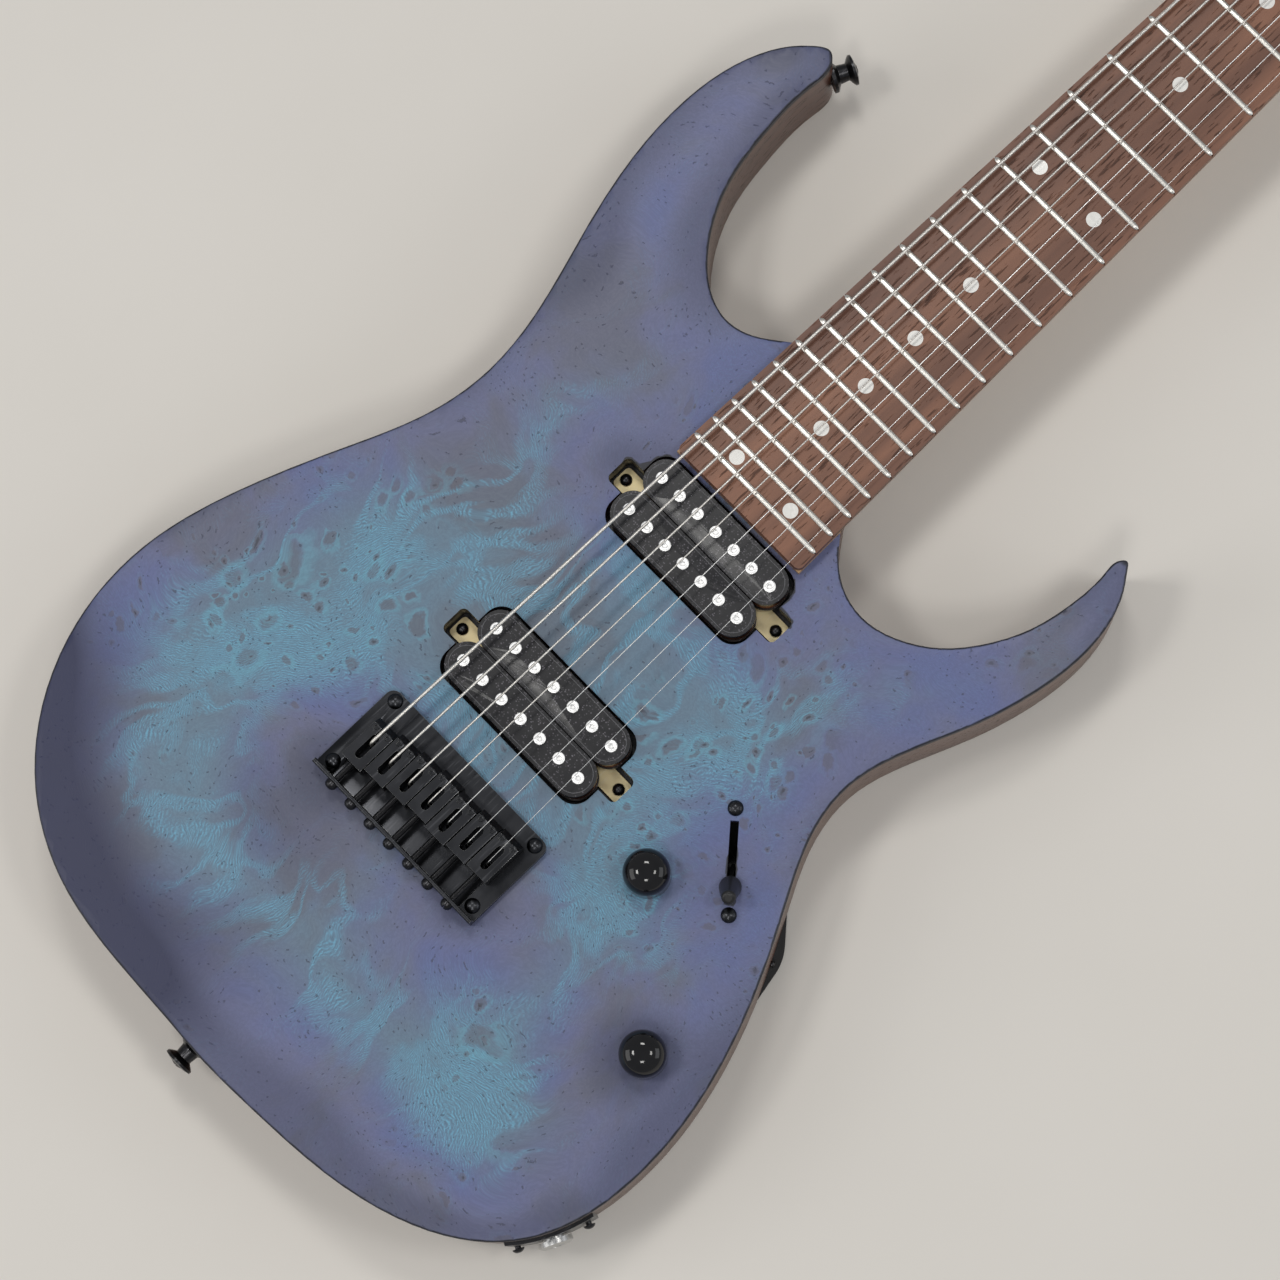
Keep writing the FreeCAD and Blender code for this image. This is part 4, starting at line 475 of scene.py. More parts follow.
def knot_rings(scale, share, small, large):
    """Eye, pupil and halo of scattered knots of one size range."""
    distance, pick = voronoi(tree, shaken, scale, voronoi_dimensions="2D")
    ratio = calc(tree, "DIVIDE", distance, scaled(tree, pick[1], large - small, small))
    chosen = times(tree, calc(tree, "LESS_THAN", pick[0], share), flock)
    eye = times(tree, fade(tree, ratio, 1.05, 0.70), chosen)
    pupil = times(tree, fade(tree, ratio, 0.50, 0.15),
                  times(tree, chosen, calc(tree, "GREATER_THAN", pick[2], 0.45)))
    ring = times(tree, fade(tree, ratio, 0.95, 1.2), fade(tree, ratio, 2.1, 1.25))
    return eye, pupil, times(tree, ring, chosen)


eye, pupil, halo = knot_rings(120.0, 0.55, 0.07, 0.30)
wide_eye, _, wide_halo = knot_rings(52.0, 0.30, 0.08, 0.30)
eye = calc(tree, "MAXIMUM", eye, times(tree, wide_eye, 0.75))
halo = calc(tree, "MAXIMUM", halo, wide_halo)
# pores
distance, rare = voronoi(tree, shaken, 420.0, voronoi_dimensions="2D")
peppered = fade(tree, noise(tree, place, 27.0, 3.0).outputs[0], 0.42, 0.62, 0.10, 0.34)
pore = times(tree, fade(tree, distance, 0.20, 0.08), calc(tree, "LESS_THAN", rare[0], peppered))
weave = noise(tree, flow, 1100.0, 3.0, 0.6).outputs[0]
furrow = times(tree, fade(tree, curl, 0.48, 0.30), lively)
# a band of violet along the edge, and the navy of the tail and the very edge
band = times(tree, fade(tree, away, 0.004, 0.022), fade(tree, away, 0.052, 0.026))
tail = times(tree, fade(tree, apart[0], -0.03, -0.095), fade(tree, apart[1], -0.02, 0.055))
dark = calc(tree, "ADD", fade(tree, away, 0.016, 0.0, 0.0, 0.42),
            times(tree, fade(tree, away, 0.052, 0.008), tail))
painted = placed(tree, pocket_paint, Place=place)["Painted"]
side = times(tree, fade(tree, rim_away, 0.0011, 0.0006), 0.93)


def in_sky(what, start, end, low, high):
    """A pattern that is stronger where the stain is sky blue."""
    return times(tree, what, fade(tree, sky_share, start, end, low, high))


# colours from the edge inwards
tone = layered(
    tree, blended(tree, sky_share, (0.132, 0.143, 0.255), (0.122, 0.200, 0.275)),
    (times(tree, band, fade(tree, cloud, 0.42, 0.62, 0.0, 0.5)), (0.085, 0.115, 0.33)),
    (times(tree, fade(tree, cloud, 0.50, 0.36), 0.6), (0.112, 0.116, 0.140)),
    (in_sky(lively, 0.0, 0.8, 0.0, 0.5), (0.108, 0.270, 0.390)),
    (in_sky(bright, 0.0, 0.8, 0.08, 0.80), (0.145, 0.430, 0.610)),
    (in_sky(furrow, 0.1, 0.8, 0.05, 0.42), (0.055, 0.105, 0.160)),
    (in_sky(halo, 0.1, 0.8, 0.06, 0.42), (0.13, 0.37, 0.48)),
    (times(tree, eye, 0.55), (0.098, 0.092, 0.112)),
    (times(tree, pupil, 0.75), (0.025, 0.024, 0.034)),
    (times(tree, pore, 0.62), (0.026, 0.028, 0.050)),
    (fade(tree, weave, 0.30, 0.66, 0.0, 0.22), (0.05, 0.06, 0.11)),
    (calc(tree, "MINIMUM", dark, 0.95), (0.008, 0.012, 0.055)),
    (calc(tree, "MAXIMUM", painted, side), (0.006, 0.007, 0.011)))
surface(tree, shader, tone, scaled(tree, curl, 0.16, 0.36))
relief = scaled(tree, curl, 0.35, times(tree, eye, -0.5))
relief = calc(tree, "SUBTRACT", relief, times(tree, pore, 1.2))
raised(tree, shader, relief, 0.00025, 0.35)
show("burl_top", mesh, burl_finish, instead_of=["top_cap"])


# ---- Neck ----
# A bolt-on neck of pale maple with a satin finish, carved in one piece with
# the tilted headstock. Four screws through the back hold it in its pocket.

neck_finish, tree, shader, place = material("neck_maple", (0.50, 0.31, 0.16), 0.38)
grain = placed(tree, wood_grain, Place=place, Figure_Scale=26.0, Pore_Scale=1500.0,
               Pore_Amount=0.25)
tone = layered(
    tree, blended(tree, grain["Figure"], (0.40, 0.235, 0.115), (0.60, 0.39, 0.205)),
    (fade(tree, grain["Streak"], 0.45, 0.75, 0.0, 0.4), (0.33, 0.18, 0.08)),
    (grain["Pores"], (0.16, 0.09, 0.045)))
surface(tree, shader, tone, fade(tree, grain["Streak"], 0.3, 0.7, 0.33, 0.44))
raised(tree, shader, grain["Streak"], 0.0001, 0.25)
dress(neck_finish, "neck")


# ---- Fretboard ----
# A plank of reddish brown, open-pored wood with a lightly oiled face, arched
# across the strings and glued on the neck. White dots mark its positions.

def baked(holder):
    """The evaluated mesh of an object whose modifiers have done their work."""
    bpy.context.view_layer.update()
    ready = holder.evaluated_get(bpy.context.evaluated_depsgraph_get())
    mesh = bpy.data.meshes.new_from_object(ready)
    bpy.data.objects.remove(holder)
    return mesh


def softened_shape(shape, width, name="softening"):
    """A shape with its sharp edges rounded, as a plain mesh."""
    holder = link(bpy.data.objects.new("softening", to_mesh(name, shape)))
    edges = holder.modifiers.new("edges", "BEVEL")
    edges.width = width
    edges.segments = 2
    edges.limit_method = "ANGLE"
    edges.angle_limit = math.radians(40)
    edges.harden_normals = True
    return baked(holder)


def softened(node, width):
    return softened_shape(merged_copy(node), width, node)


board_finish, tree, shader, place = material("fretboard_oiled", (0.16, 0.07, 0.04), 0.48)
grain = placed(tree, wood_grain, Place=place, Figure_Scale=55.0, Pore_Scale=1050.0,
               Pore_Amount=1.0)
tone = blended(tree, fade(tree, grain["Figure"], 0.3, 0.7), (0.125, 0.052, 0.031),
               (0.265, 0.118, 0.068))
tone = layered(
    tree, tone,
    (fade(tree, grain["Streak"], 0.46, 0.70, 0.0, 0.35), (0.100, 0.041, 0.025)),
    (times(tree, grain["Pores"], 0.7), (0.034, 0.015, 0.010)))
surface(tree, shader, tone, scaled(tree, grain["Pores"], 0.3, 0.44))
raised(tree, shader, times(tree, grain["Pores"], -1.0), 0.0002, 0.6)
dress(board_finish, "fretboard")

pearl, tree, shader, place = material("marker_white", (0.80, 0.79, 0.75), 0.25)
swirl = noise(tree, place, 420.0, 3.0, 0.6, 1.2).outputs[0]
surface(tree, shader, blended(tree, swirl, (0.72, 0.71, 0.67), (0.88, 0.87, 0.84)),
        fade(tree, swirl, 0.3, 0.7, 0.18, 0.32))
dress(pearl, "fret_markers")


# ---- Frets ----
# Twenty-four lengths of nickel silver wire with a low domed crown, bent to
# the fretboard's arch, pressed in and dressed back at both ends.

SCALE_LONG = 648 * MM
BOARD_TOP = 54 * MM
BOARD_ROUND = 400 * MM
NUT_HALF = 24 * MM
LAST_HALF = 34 * MM


def grown(name, mesh, group, **values):
    """Run a Geometry Nodes tree on a mesh and keep the result as a plain mesh."""
    holder = link(bpy.data.objects.new(name, mesh))
    work = holder.modifiers.new("work", "NODES")
    work.node_group = group
    for item in group.interface.items_tree:
        key = item.name.replace(" ", "_")
        if item.in_out == "INPUT" and key in values:
            work[item.identifier] = values[key]
    holder.update_tag()
    return baked(holder)


metal_marks, start, end = new_group(
    "metal_marks",
    [("Place", "Vector", None), ("Scale", "Float", 60.0), ("Amount", "Float", 1.0)],
    [("Smudge", "Float"), ("Scratch", "Float")])
smear = noise(metal_marks, start["Place"], start["Scale"], 4.0, 0.6, 0.8).outputs[0]
metal_marks.links.new(smear, end["Smudge"])
hairs = []
for turn, length in ((0.5, 0.05), (-0.9, 0.08), (1.9, 0.06)):
    drawn = stretched(metal_marks, start["Place"], (length, 1.0, 1.0), turn)
    strand = noise(metal_marks, drawn, times(metal_marks, start["Scale"], 22.0), 1.0)
    hairs.append(fade(metal_marks, strand.outputs[0], 0.66, 0.74))
most = calc(metal_marks, "MAXIMUM", hairs[0], calc(metal_marks, "MAXIMUM", hairs[1], hairs[2]))
metal_marks.links.new(times(metal_marks, most, start["Amount"]), end["Scratch"])


def metal(name, dark, pale, roughness, scratch, scale=60.0, worn=None, metallic=1.0):
    """A metal finish with smudges, hair scratches and paler worn edges."""
    made, tree, shader, place = material(name, pale, roughness, metallic)
    marks = placed(tree, metal_marks, Place=place, Scale=scale, Amount=scratch)
    tone = blended(tree, marks["Smudge"], dark, pale)
    tone = blended(tree, times(tree, marks["Scratch"], 0.5), tone,
                   tuple(min(1.0, part * 2.2 + 0.05) for part in pale))
    if worn:
        bare = placed(tree, edge_wear, Place=place, Reach=0.00022, Scale=160.0)["Worn"]
        tone = blended(tree, times(tree, bare, 0.7), tone, worn)
    rough = scaled(tree, marks["Smudge"], 0.22, roughness - 0.11)
    surface(tree, shader, tone, scaled(tree, marks["Scratch"], 0.12, rough))
    raised(tree, shader, marks["Scratch"], 0.00002, 0.4)
    return made


fret_silver = metal("fret_silver", (0.74, 0.71, 0.65), (0.90, 0.88, 0.83), 0.34, 0.15)

def shaped(tree, kind, values=None, **settings):
    """The first output of a Geometry Nodes step."""
    return add(tree, "GeometryNode" + kind, values, **settings).outputs[0]


def vector_of(tree, *values):
    return add(tree, "ShaderNodeCombineXYZ", dict(enumerate(values))).outputs[0]


fret_tree, start, end = new_group(
    "fret_wires",
    [("Geometry", "Geometry", None), ("Scale Length", "Float", 0.648),
     ("Board Top", "Float", 0.05), ("Board Radius", "Float", 0.4),
     ("Half At Nut", "Float", 0.02), ("Half At Last", "Float", 0.03),
     ("Crown Width", "Float", 0.0026), ("Crown Height", "Float", 0.0011),
     ("Finish", "Material", None)],
    [("Geometry", "Geometry")], "GeometryNodeTree")
# a fret's place is the scale length over the twelfth root of two, once per rank
count = shaped(fret_tree, "MeshLine", {"Count": 24}, mode="OFFSET")
rank = fret_tree.nodes.new("GeometryNodeInputIndex").outputs[0]
octave = calc(fret_tree, "DIVIDE", calc(fret_tree, "ADD", rank, 1.0), -12.0)
along = times(fret_tree, calc(fret_tree, "POWER", 2.0, octave), start["Scale Length"])
gone = calc(fret_tree, "SUBTRACT", 1.0, calc(fret_tree, "DIVIDE", along, start["Scale Length"]))
wider = calc(fret_tree, "SUBTRACT", start["Half At Last"], start["Half At Nut"])
half = scaled(fret_tree, calc(fret_tree, "DIVIDE", gone, 0.75), wider, start["Half At Nut"])
spot = vector_of(fret_tree, along, 0.0, start["Board Top"])
spots = shaped(fret_tree, "SetPosition", {"Geometry": count, "Position": spot})
wire = shaped(fret_tree, "CurvePrimitiveLine", {"Start": (0, -1, 0), "End": (0, 1, 0)})
wire = shaped(fret_tree, "ResampleCurve", {"Curve": wire, "Count": 65})
wires = shaped(fret_tree, "InstanceOnPoints", {
    "Points": spots, "Instance": wire, "Scale": vector_of(fret_tree, 1.0, half, 1.0)})
wires = shaped(fret_tree, "RealizeInstances", {"Geometry": wires})
# each wire follows the board's arch and is slimmer at its dressed ends
across = parts_of(fret_tree, fret_tree.nodes.new("GeometryNodeInputPosition").outputs[0])[1]
drop = calc(fret_tree, "DIVIDE", times(fret_tree, across, across),
            times(fret_tree, start["Board Radius"], 2.0))
sunk = vector_of(fret_tree, 0.0, 0.0, times(fret_tree, drop, -1.0))
wires = shaped(fret_tree, "SetPosition", {"Geometry": wires, "Offset": sunk})
wires = shaped(fret_tree, "SetCurveNormal", {"Curve": wires}, mode="Z_UP")
share = fret_tree.nodes.new("GeometryNodeSplineParameter").outputs["Factor"]
from_end = calc(fret_tree, "MINIMUM", share, calc(fret_tree, "SUBTRACT", 1.0, share))
slim = fade(fret_tree, from_end, 0.0, 0.022, 0.45, 1.0)
wires = shaped(fret_tree, "SetCurveRadius", {"Curve": wires, "Radius": slim})
arc = shaped(fret_tree, "CurvePrimitiveCircle", {"Resolution": 20, "Radius": 0.5})
flat = vector_of(fret_tree, start["Crown Width"],
                 times(fret_tree, start["Crown Height"], 2.0), 1.0)
arc = shaped(fret_tree, "Transform", {"Geometry": arc, "Scale": flat})
crown = shaped(fret_tree, "CurveToMesh", {
    "Curve": wires, "Profile Curve": arc, "Scale": slim, "Fill Caps": True})
crown = shaped(fret_tree, "SetShadeSmooth", {"Geometry": crown})
crown = shaped(fret_tree, "SetMaterial", {"Geometry": crown, "Material": start["Finish"]})
fret_tree.links.new(crown, end["Geometry"])
mesh = grown("frets_cast", bpy.data.meshes.new("fret_seed"), fret_tree, Scale_Length=SCALE_LONG,
             Board_Top=BOARD_TOP, Board_Radius=BOARD_ROUND, Half_At_Nut=NUT_HALF - 0.5 * MM,
             Half_At_Last=LAST_HALF - 0.5 * MM, Crown_Width=2.6 * MM, Crown_Height=1.05 * MM,
             Finish=fret_silver)
show("fret_wires", mesh, fret_silver, instead_of=["frets"])


# ---- Nut ----
# A small arched bar of black composite, slotted for the strings and glued
# across the end of the fretboard.

black_moulding, tree, shader, place = material("black_moulding", (0.014, 0.014, 0.015), 0.42,
                                               Specular_IOR_Level=0.35)
fleck = noise(tree, place, 2600.0, 3.0, 0.6).outputs[0]
handled = noise(tree, place, 45.0, 3.0, 0.6, 0.5).outputs[0]
bare = placed(tree, edge_wear, Place=place, Reach=0.0004, Scale=200.0)["Worn"]
tone = blended(tree, fleck, (0.010, 0.010, 0.011), (0.019, 0.019, 0.020))
tone = blended(tree, times(tree, bare, 0.4), tone, (0.06, 0.06, 0.062))
surface(tree, shader, tone, fade(tree, handled, 0.3, 0.7, 0.34, 0.52))
raised(tree, shader, fleck, 0.00003, 0.3)
show("string_nut", softened("nut", 0.2 * MM), black_moulding,
     instead_of=["nut"])


# ---- Truss rod and its cover ----
# A steel rod lies in a channel under the fretboard. Its hexagon nut sits in a
# pocket behind the string nut, under a small black cover with three screws.

plated_steel = metal("plated_steel", (0.40, 0.40, 0.40), (0.62, 0.62, 0.61), 0.32, 0.5)
dress(plated_steel, "truss_rod")
show("rod_cover", softened("truss_rod_cover", 0.35 * MM), black_moulding,
     instead_of=["truss_rod_cover"])


# ---- Pickups ----
# Each pickup has a brass plate with an ear at both ends, a bar magnet, two
# wound coils and two black bobbins side by side, with fourteen steel poles.

brass_sheet = metal("brass_sheet", (0.84, 0.68, 0.34), (0.97, 0.86, 0.56), 0.45, 0.3,
                    metallic=0.35)
show("pickup_plates", softened("pickup_bases", 0.18 * MM), brass_sheet,
     instead_of=["pickup_bases"])

copper_coils, tree, shader, place = material("copper_coils", (0.42, 0.15, 0.06), 0.35, 0.9)
turns = add(tree, "ShaderNodeTexWave", {"Vector": place, "Scale": 2600.0, "Distortion": 0.6},
            wave_type="BANDS", bands_direction="Z").outputs["Fac"]
# painted highlight and painted shade: each turn of wire is lighter on its crest and darker in the
# hollows beside it
surface(tree, shader, blended(tree, turns, (0.25, 0.08, 0.035), (0.55, 0.22, 0.09)),
        scaled(tree, turns, -0.15, 0.45))
raised(tree, shader, turns, 0.00005, 0.6)
dress(copper_coils, "pickup_coils")

bobbin_black, tree, shader, place = material("bobbin_black", (0.012, 0.012, 0.014), 0.30)
distance, chance = voronoi(tree, place, 1300.0)
speckle = times(tree, fade(tree, distance, 0.50, 0.25), fade(tree, chance[0], 0.55, 0.95))
speckle = times(tree, speckle, calc(tree, "GREATER_THAN", way_up(tree), 0.9))
veil = noise(tree, place, 60.0, 3.0, 0.6).outputs[0]
speckle = times(tree, speckle, fade(tree, veil, 0.30, 0.62, 0.35, 1.0))
surface(tree, shader, blended(tree, speckle, (0.010, 0.010, 0.012), (0.150, 0.140, 0.160)),
        scaled(tree, veil, 0.22, 0.20))
raised(tree, shader, veil, 0.0003, 0.15)
show("pickup_bobbins_shaped", softened("pickup_bobbins", 0.40 * MM), bobbin_black,
     instead_of=["pickup_bobbins"])

bead_tree, start, end = new_group(
    "bead_along_edges",
    [("Geometry", "Geometry", None), ("Bead Radius", "Float", 0.0002), ("Sides", "Int", 8),
     ("Finish", "Material", None)],
    [("Geometry", "Geometry")], "GeometryNodeTree")
line = shaped(bead_tree, "MeshToCurve", {"Mesh": start["Geometry"]})
ring = shaped(bead_tree, "CurvePrimitiveCircle", {
    "Resolution": start["Sides"], "Radius": start["Bead Radius"]})
bead = shaped(bead_tree, "CurveToMesh", {
    "Curve": line, "Profile Curve": ring, "Fill Caps": True})
bead = shaped(bead_tree, "RealizeInstances", {"Geometry": bead})
bead = shaped(bead_tree, "SetMaterial", {"Geometry": bead, "Material": start["Finish"]})
bead_tree.links.new(bead, end["Geometry"])

BOBBIN_TOP = 50 * MM
BOBBIN_HALF = 8.75 * MM
ROW_HALF = 8.95 * MM
BEAD_INSET = 1.3 * MM
BOBBIN_PAST = 6.6 * MM
# middle of each pickup and the spacing of its poles
PICKUPS = ((43.7 * MM, 10.8 * MM), (131.6 * MM, 10.1 * MM))
STRINGS = 7


def stadium(centre_x, half_long, radius, level, steps=14):
    """Points round a bar with rounded ends, lying across the strings."""
    points = []
    for side in (1, -1):
        for step in range(steps + 1):
            turn = math.pi * step / steps + (0 if side > 0 else math.pi)
            points.append((centre_x + radius * math.cos(turn),
                           side * (half_long - radius) + radius * math.sin(turn), level))
    return points


def closed_lines(name, loops):
    """A mesh of edges only, one closed ring for each list of points."""
    mesh = bpy.data.meshes.new(name)
    points = []
    edges = []
    for loop in loops:
        first, count = len(points), len(loop)
        edges += [(first + step, first + (step + 1) % count) for step in range(count)]
        points += loop
    mesh.from_pydata(points, edges, [])
    return mesh


loops = []
for centre_x, pitch in PICKUPS:
    half_long = (STRINGS - 1) / 2 * pitch + BOBBIN_PAST
    for side in (-1, 1):
        loops.append(stadium(centre_x + side * ROW_HALF, half_long - BEAD_INSET,
                             BOBBIN_HALF - BEAD_INSET, BOBBIN_TOP))
grey_lip, tree, shader, place = material("bobbin_lip", (0.10, 0.10, 0.11), 0.35)
dusty = noise(tree, place, 500.0, 2.0).outputs[0]
surface(tree, shader, blended(tree, dusty, (0.055, 0.055, 0.062), (0.16, 0.16, 0.17)),
        fade(tree, dusty, 0.3, 0.7, 0.28, 0.45))
mesh = grown("lip_work", closed_lines("lip_lines", loops), bead_tree, Bead_Radius=0.17 * MM,
             Finish=grey_lip)
show("bobbin_lips", mesh, grey_lip)


def wall(shape, upper, lower):
    """Faces between two rings of points; a ring of one point is a tip."""
    steps = max(len(upper), len(lower))
    for step in range(steps):
        after = (step + 1) % steps
        if len(upper) == 1:
            corners = [upper[0], lower[step], lower[after]]
        elif len(lower) == 1:
            corners = [upper[step], lower[0], upper[after]]
        else:
            corners = [upper[step], lower[step], lower[after], upper[after]]
        shape.faces.new(corners)


def lathe(profile, steps=24):
    """A closed turned shape from (radius, height, sides) points, top to bottom.

    Sides is how many flats that ring has; none makes it round.
    """
    shape = bmesh.new()
    rings = []
    for radius, height, *sides in profile:
        if radius == 0:
            rings.append([shape.verts.new((0, 0, height))])
            continue
        ring = []
        for step in range(steps):
            turn = 2 * math.pi * step / steps
            reach = radius
            if sides:
                part = 2 * math.pi / sides[0]
                reach = radius * math.cos(part / 2) / math.cos(turn % part - part / 2)
            ring.append(shape.verts.new((reach * math.cos(turn), reach * math.sin(turn), height)))
        rings.append(ring)
    for upper, lower in zip(rings, rings[1:]):
        wall(shape, upper, lower)
    bmesh.ops.recalc_face_normals(shape, faces=shape.faces)
    return shape


set_tree, start, end = new_group(
    "set_in_place",
    [("Geometry", "Geometry", None), ("Piece", "Object", None), ("Size", "Float", 1.0),
     ("Seed", "Int", 1), ("Finish", "Material", None)],
    [("Geometry", "Geometry")], "GeometryNodeTree")
out_way = shaped(set_tree, "InputNamedAttribute", {"Name": "out"}, data_type="FLOAT_VECTOR")
own_size = shaped(set_tree, "InputNamedAttribute", {"Name": "size"}, data_type="FLOAT")
stand = add(set_tree, "FunctionNodeAlignRotationToVector", {"Vector": out_way},
            axis="Z").outputs[0]
chance = add(set_tree, "FunctionNodeRandomValue", {"Seed": start["Seed"]}, data_type="FLOAT")
spin = add(set_tree, "FunctionNodeAxisAngleToRotation", {
    "Axis": (0, 0, 1), "Angle": times(set_tree, chance.outputs[1], 2 * math.pi)})
stand = add(set_tree, "FunctionNodeRotateRotation", {
    "Rotation": stand, "Rotate By": spin.outputs[0]}, rotation_space="LOCAL").outputs[0]
model = add(set_tree, "GeometryNodeObjectInfo", {"Object": start["Piece"]}).outputs["Geometry"]
copies = shaped(set_tree, "InstanceOnPoints", {
    "Points": start["Geometry"], "Instance": model, "Rotation": stand,
    "Scale": times(set_tree, own_size, start["Size"])})
copies = shaped(set_tree, "RealizeInstances", {"Geometry": copies})
copies = shaped(set_tree, "SetMaterial", {"Geometry": copies, "Material": start["Finish"]})
set_tree.links.new(copies, end["Geometry"])


def set_copies(name, shape, places, finish, seed):
    """One mesh with a copy of a shape at each (place, outward way, size)."""
    model = link(bpy.data.objects.new(name + "_model", to_mesh(name + "_model", shape)))
    mesh = bpy.data.meshes.new(name + "_places")
    mesh.from_pydata([tuple(place) for place, _, _ in places], [], [])
    ways = mesh.attributes.new("out", "FLOAT_VECTOR", "POINT")
    ways.data.foreach_set("vector", [part for _, way, _ in places for part in way])
    sizes = mesh.attributes.new("size", "FLOAT", "POINT")
    sizes.data.foreach_set("value", [own for _, _, own in places])
    made = grown(name + "_work", mesh, set_tree, Piece=model, Seed=seed, Finish=finish)
    bpy.data.objects.remove(model)
    return made


UP = (0, 0, 1)
pole_silver = metal("pole_silver", (0.80, 0.80, 0.80), (0.96, 0.96, 0.95), 0.42, 0.15)
pole = lathe([(0, -0.9 * MM), (1.1 * MM, -0.9 * MM, 6), (1.1 * MM, 0.25 * MM, 6),
              (1.35 * MM, 0.40 * MM), (2.15 * MM, 0.40 * MM), (2.42 * MM, 0.28 * MM),
              (2.5 * MM, 0.05 * MM), (2.5 * MM, -1.2 * MM), (1.5 * MM, -1.2 * MM),
              (1.5 * MM, -15.5 * MM), (0, -15.5 * MM)])
places = []
for centre_x, pitch in PICKUPS:
    for side in (-1, 1):
        for number in range(STRINGS):
            places.append(((centre_x + side * ROW_HALF, (number - 3) * pitch, BOBBIN_TOP),
                           UP, 1.0))
show("pole_screws", set_copies("poles", pole, places, pole_silver, seed=7), pole_silver,
     instead_of=["pickup_poles"])


# ---- Bridge ----
# A fixed bridge in black chrome: a plate with a raised rear lip holds seven
# saddles in its sunk well. Strings come up through the wood and the plate.

black_chrome = metal("black_chrome", (0.026, 0.027, 0.030), (0.056, 0.058, 0.064), 0.30, 0.35,
                     scale=42.0, worn=(0.30, 0.30, 0.29))
black_plate = metal("black_plate", (0.020, 0.020, 0.022), (0.050, 0.050, 0.054), 0.30, 0.5,
                    scale=90.0, worn=(0.20, 0.20, 0.20), metallic=0.9)
show("bridge_base", softened("bridge_plate", 0.30 * MM), black_chrome,
     instead_of=["bridge_plate"])
dress(black_plate, "string_ferrules")


def islands(shape):
    """The separate closed bodies of a mesh, largest first, as vertex lists."""
    left = set(shape.verts)
    found = []
    while left:
        waiting = [left.pop()]
        own = list(waiting)
        while waiting:
            for edge in waiting.pop().link_edges:
                for vert in edge.verts:
                    if vert in left:
                        left.discard(vert)
                        waiting.append(vert)
                        own.append(vert)
        found.append(own)

    def reach(verts):
        return sum(max(v.co[axis] for v in verts) - min(v.co[axis] for v in verts)
                   for axis in range(3))
    return sorted(found, key=reach, reverse=True)


def moved(shape, place, way=UP, turn=0.0):
    """Stand a shape that was made along Z at a place, along another way."""
    stand = Vector(way).to_track_quat("Z", "Y").to_matrix().to_4x4()
    spun = Matrix.Rotation(turn, 4, "Z")
    bmesh.ops.transform(shape, matrix=Matrix.Translation(place) @ stand @ spun,
                        verts=shape.verts)
    return shape


def together(name, *meshes, sharp=35):
    """Several meshes as one."""
    shape = bmesh.new()
    for mesh in meshes:
        shape.from_mesh(mesh)
    return to_mesh(name, shape, sharp)


saddle_screw = [(0, -0.8 * MM), (0.72 * MM, -0.8 * MM, 6), (0.72 * MM, 0.1 * MM, 6),
                (0.86 * MM, 0.2 * MM), (1.15 * MM, 0.2 * MM), (1.33 * MM, 0.05 * MM),
                (1.33 * MM, -8.6 * MM), (0, -8.9 * MM)]
SCREW_FROM_BACK = 16.8 * MM
SCREW_ASIDE = 3.15 * MM
for number in range(1, STRINGS + 1):
    node = f"saddle_{number}"
    low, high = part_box(node)
    shape = merged_copy(node)
    loose = [vert for own in islands(shape)[1:] for vert in own]
    bmesh.ops.delete(shape, geom=loose, context="VERTS")
    block = softened_shape(shape, 0.16 * MM)
    screws = []
    for side in (-1, 1):
        at = (low.x + SCREW_FROM_BACK, (low.y + high.y) / 2 + side * SCREW_ASIDE, high.z)
        screws.append(to_mesh("screw", moved(lathe(saddle_screw), at, turn=number + side * 0.7)))
    show(f"saddle_block_{number}", together(node, block, *screws, sharp=16), black_chrome,
         node, [node])

THREAD_PITCH = 0.5 * MM


def threaded(radius, long, depth, steps=16):
    """A helical thread from z = 0 down to -long."""
    shape = bmesh.new()
    rows = int(long / (THREAD_PITCH / 4)) + 1
    rings = []
    for row in range(rows):
        ring = []
        for step in range(steps):
            turn = 2 * math.pi * step / steps
            phase = (row / 4 + step / steps) % 1
            reach = radius - depth * abs(2 * phase - 1)
            ring.append(shape.verts.new((reach * math.cos(turn), reach * math.sin(turn),
                                         -row * THREAD_PITCH / 4)))
        rings.append(ring)
    for upper, lower in zip(rings, rings[1:]):
        wall(shape, upper, lower)
    shape.faces.new(rings[0])
    shape.faces.new(rings[-1])
    bmesh.ops.recalc_face_normals(shape, faces=shape.faces)
    return shape


def cut_by(mesh, tool):
    """The first mesh with the second one taken out of it."""
    holder = link(bpy.data.objects.new("cutting", mesh))
    cutter = link(bpy.data.objects.new("cutter", tool))
    work = holder.modifiers.new("cut", "BOOLEAN")
    work.operation = "DIFFERENCE"
    work.object = cutter
    work.solver = "EXACT"
    made = baked(holder)
    bpy.data.objects.remove(cutter)
    return made


def bar(low, high):
    """A box between two corners."""
    shape = bmesh.new()
    bmesh.ops.create_cube(shape, size=1)
    bmesh.ops.scale(shape, vec=[b - a for a, b in zip(low, high)], verts=shape.verts)
    bmesh.ops.translate(shape, vec=[(a + b) / 2 for a, b in zip(low, high)], verts=shape.verts)
    return shape


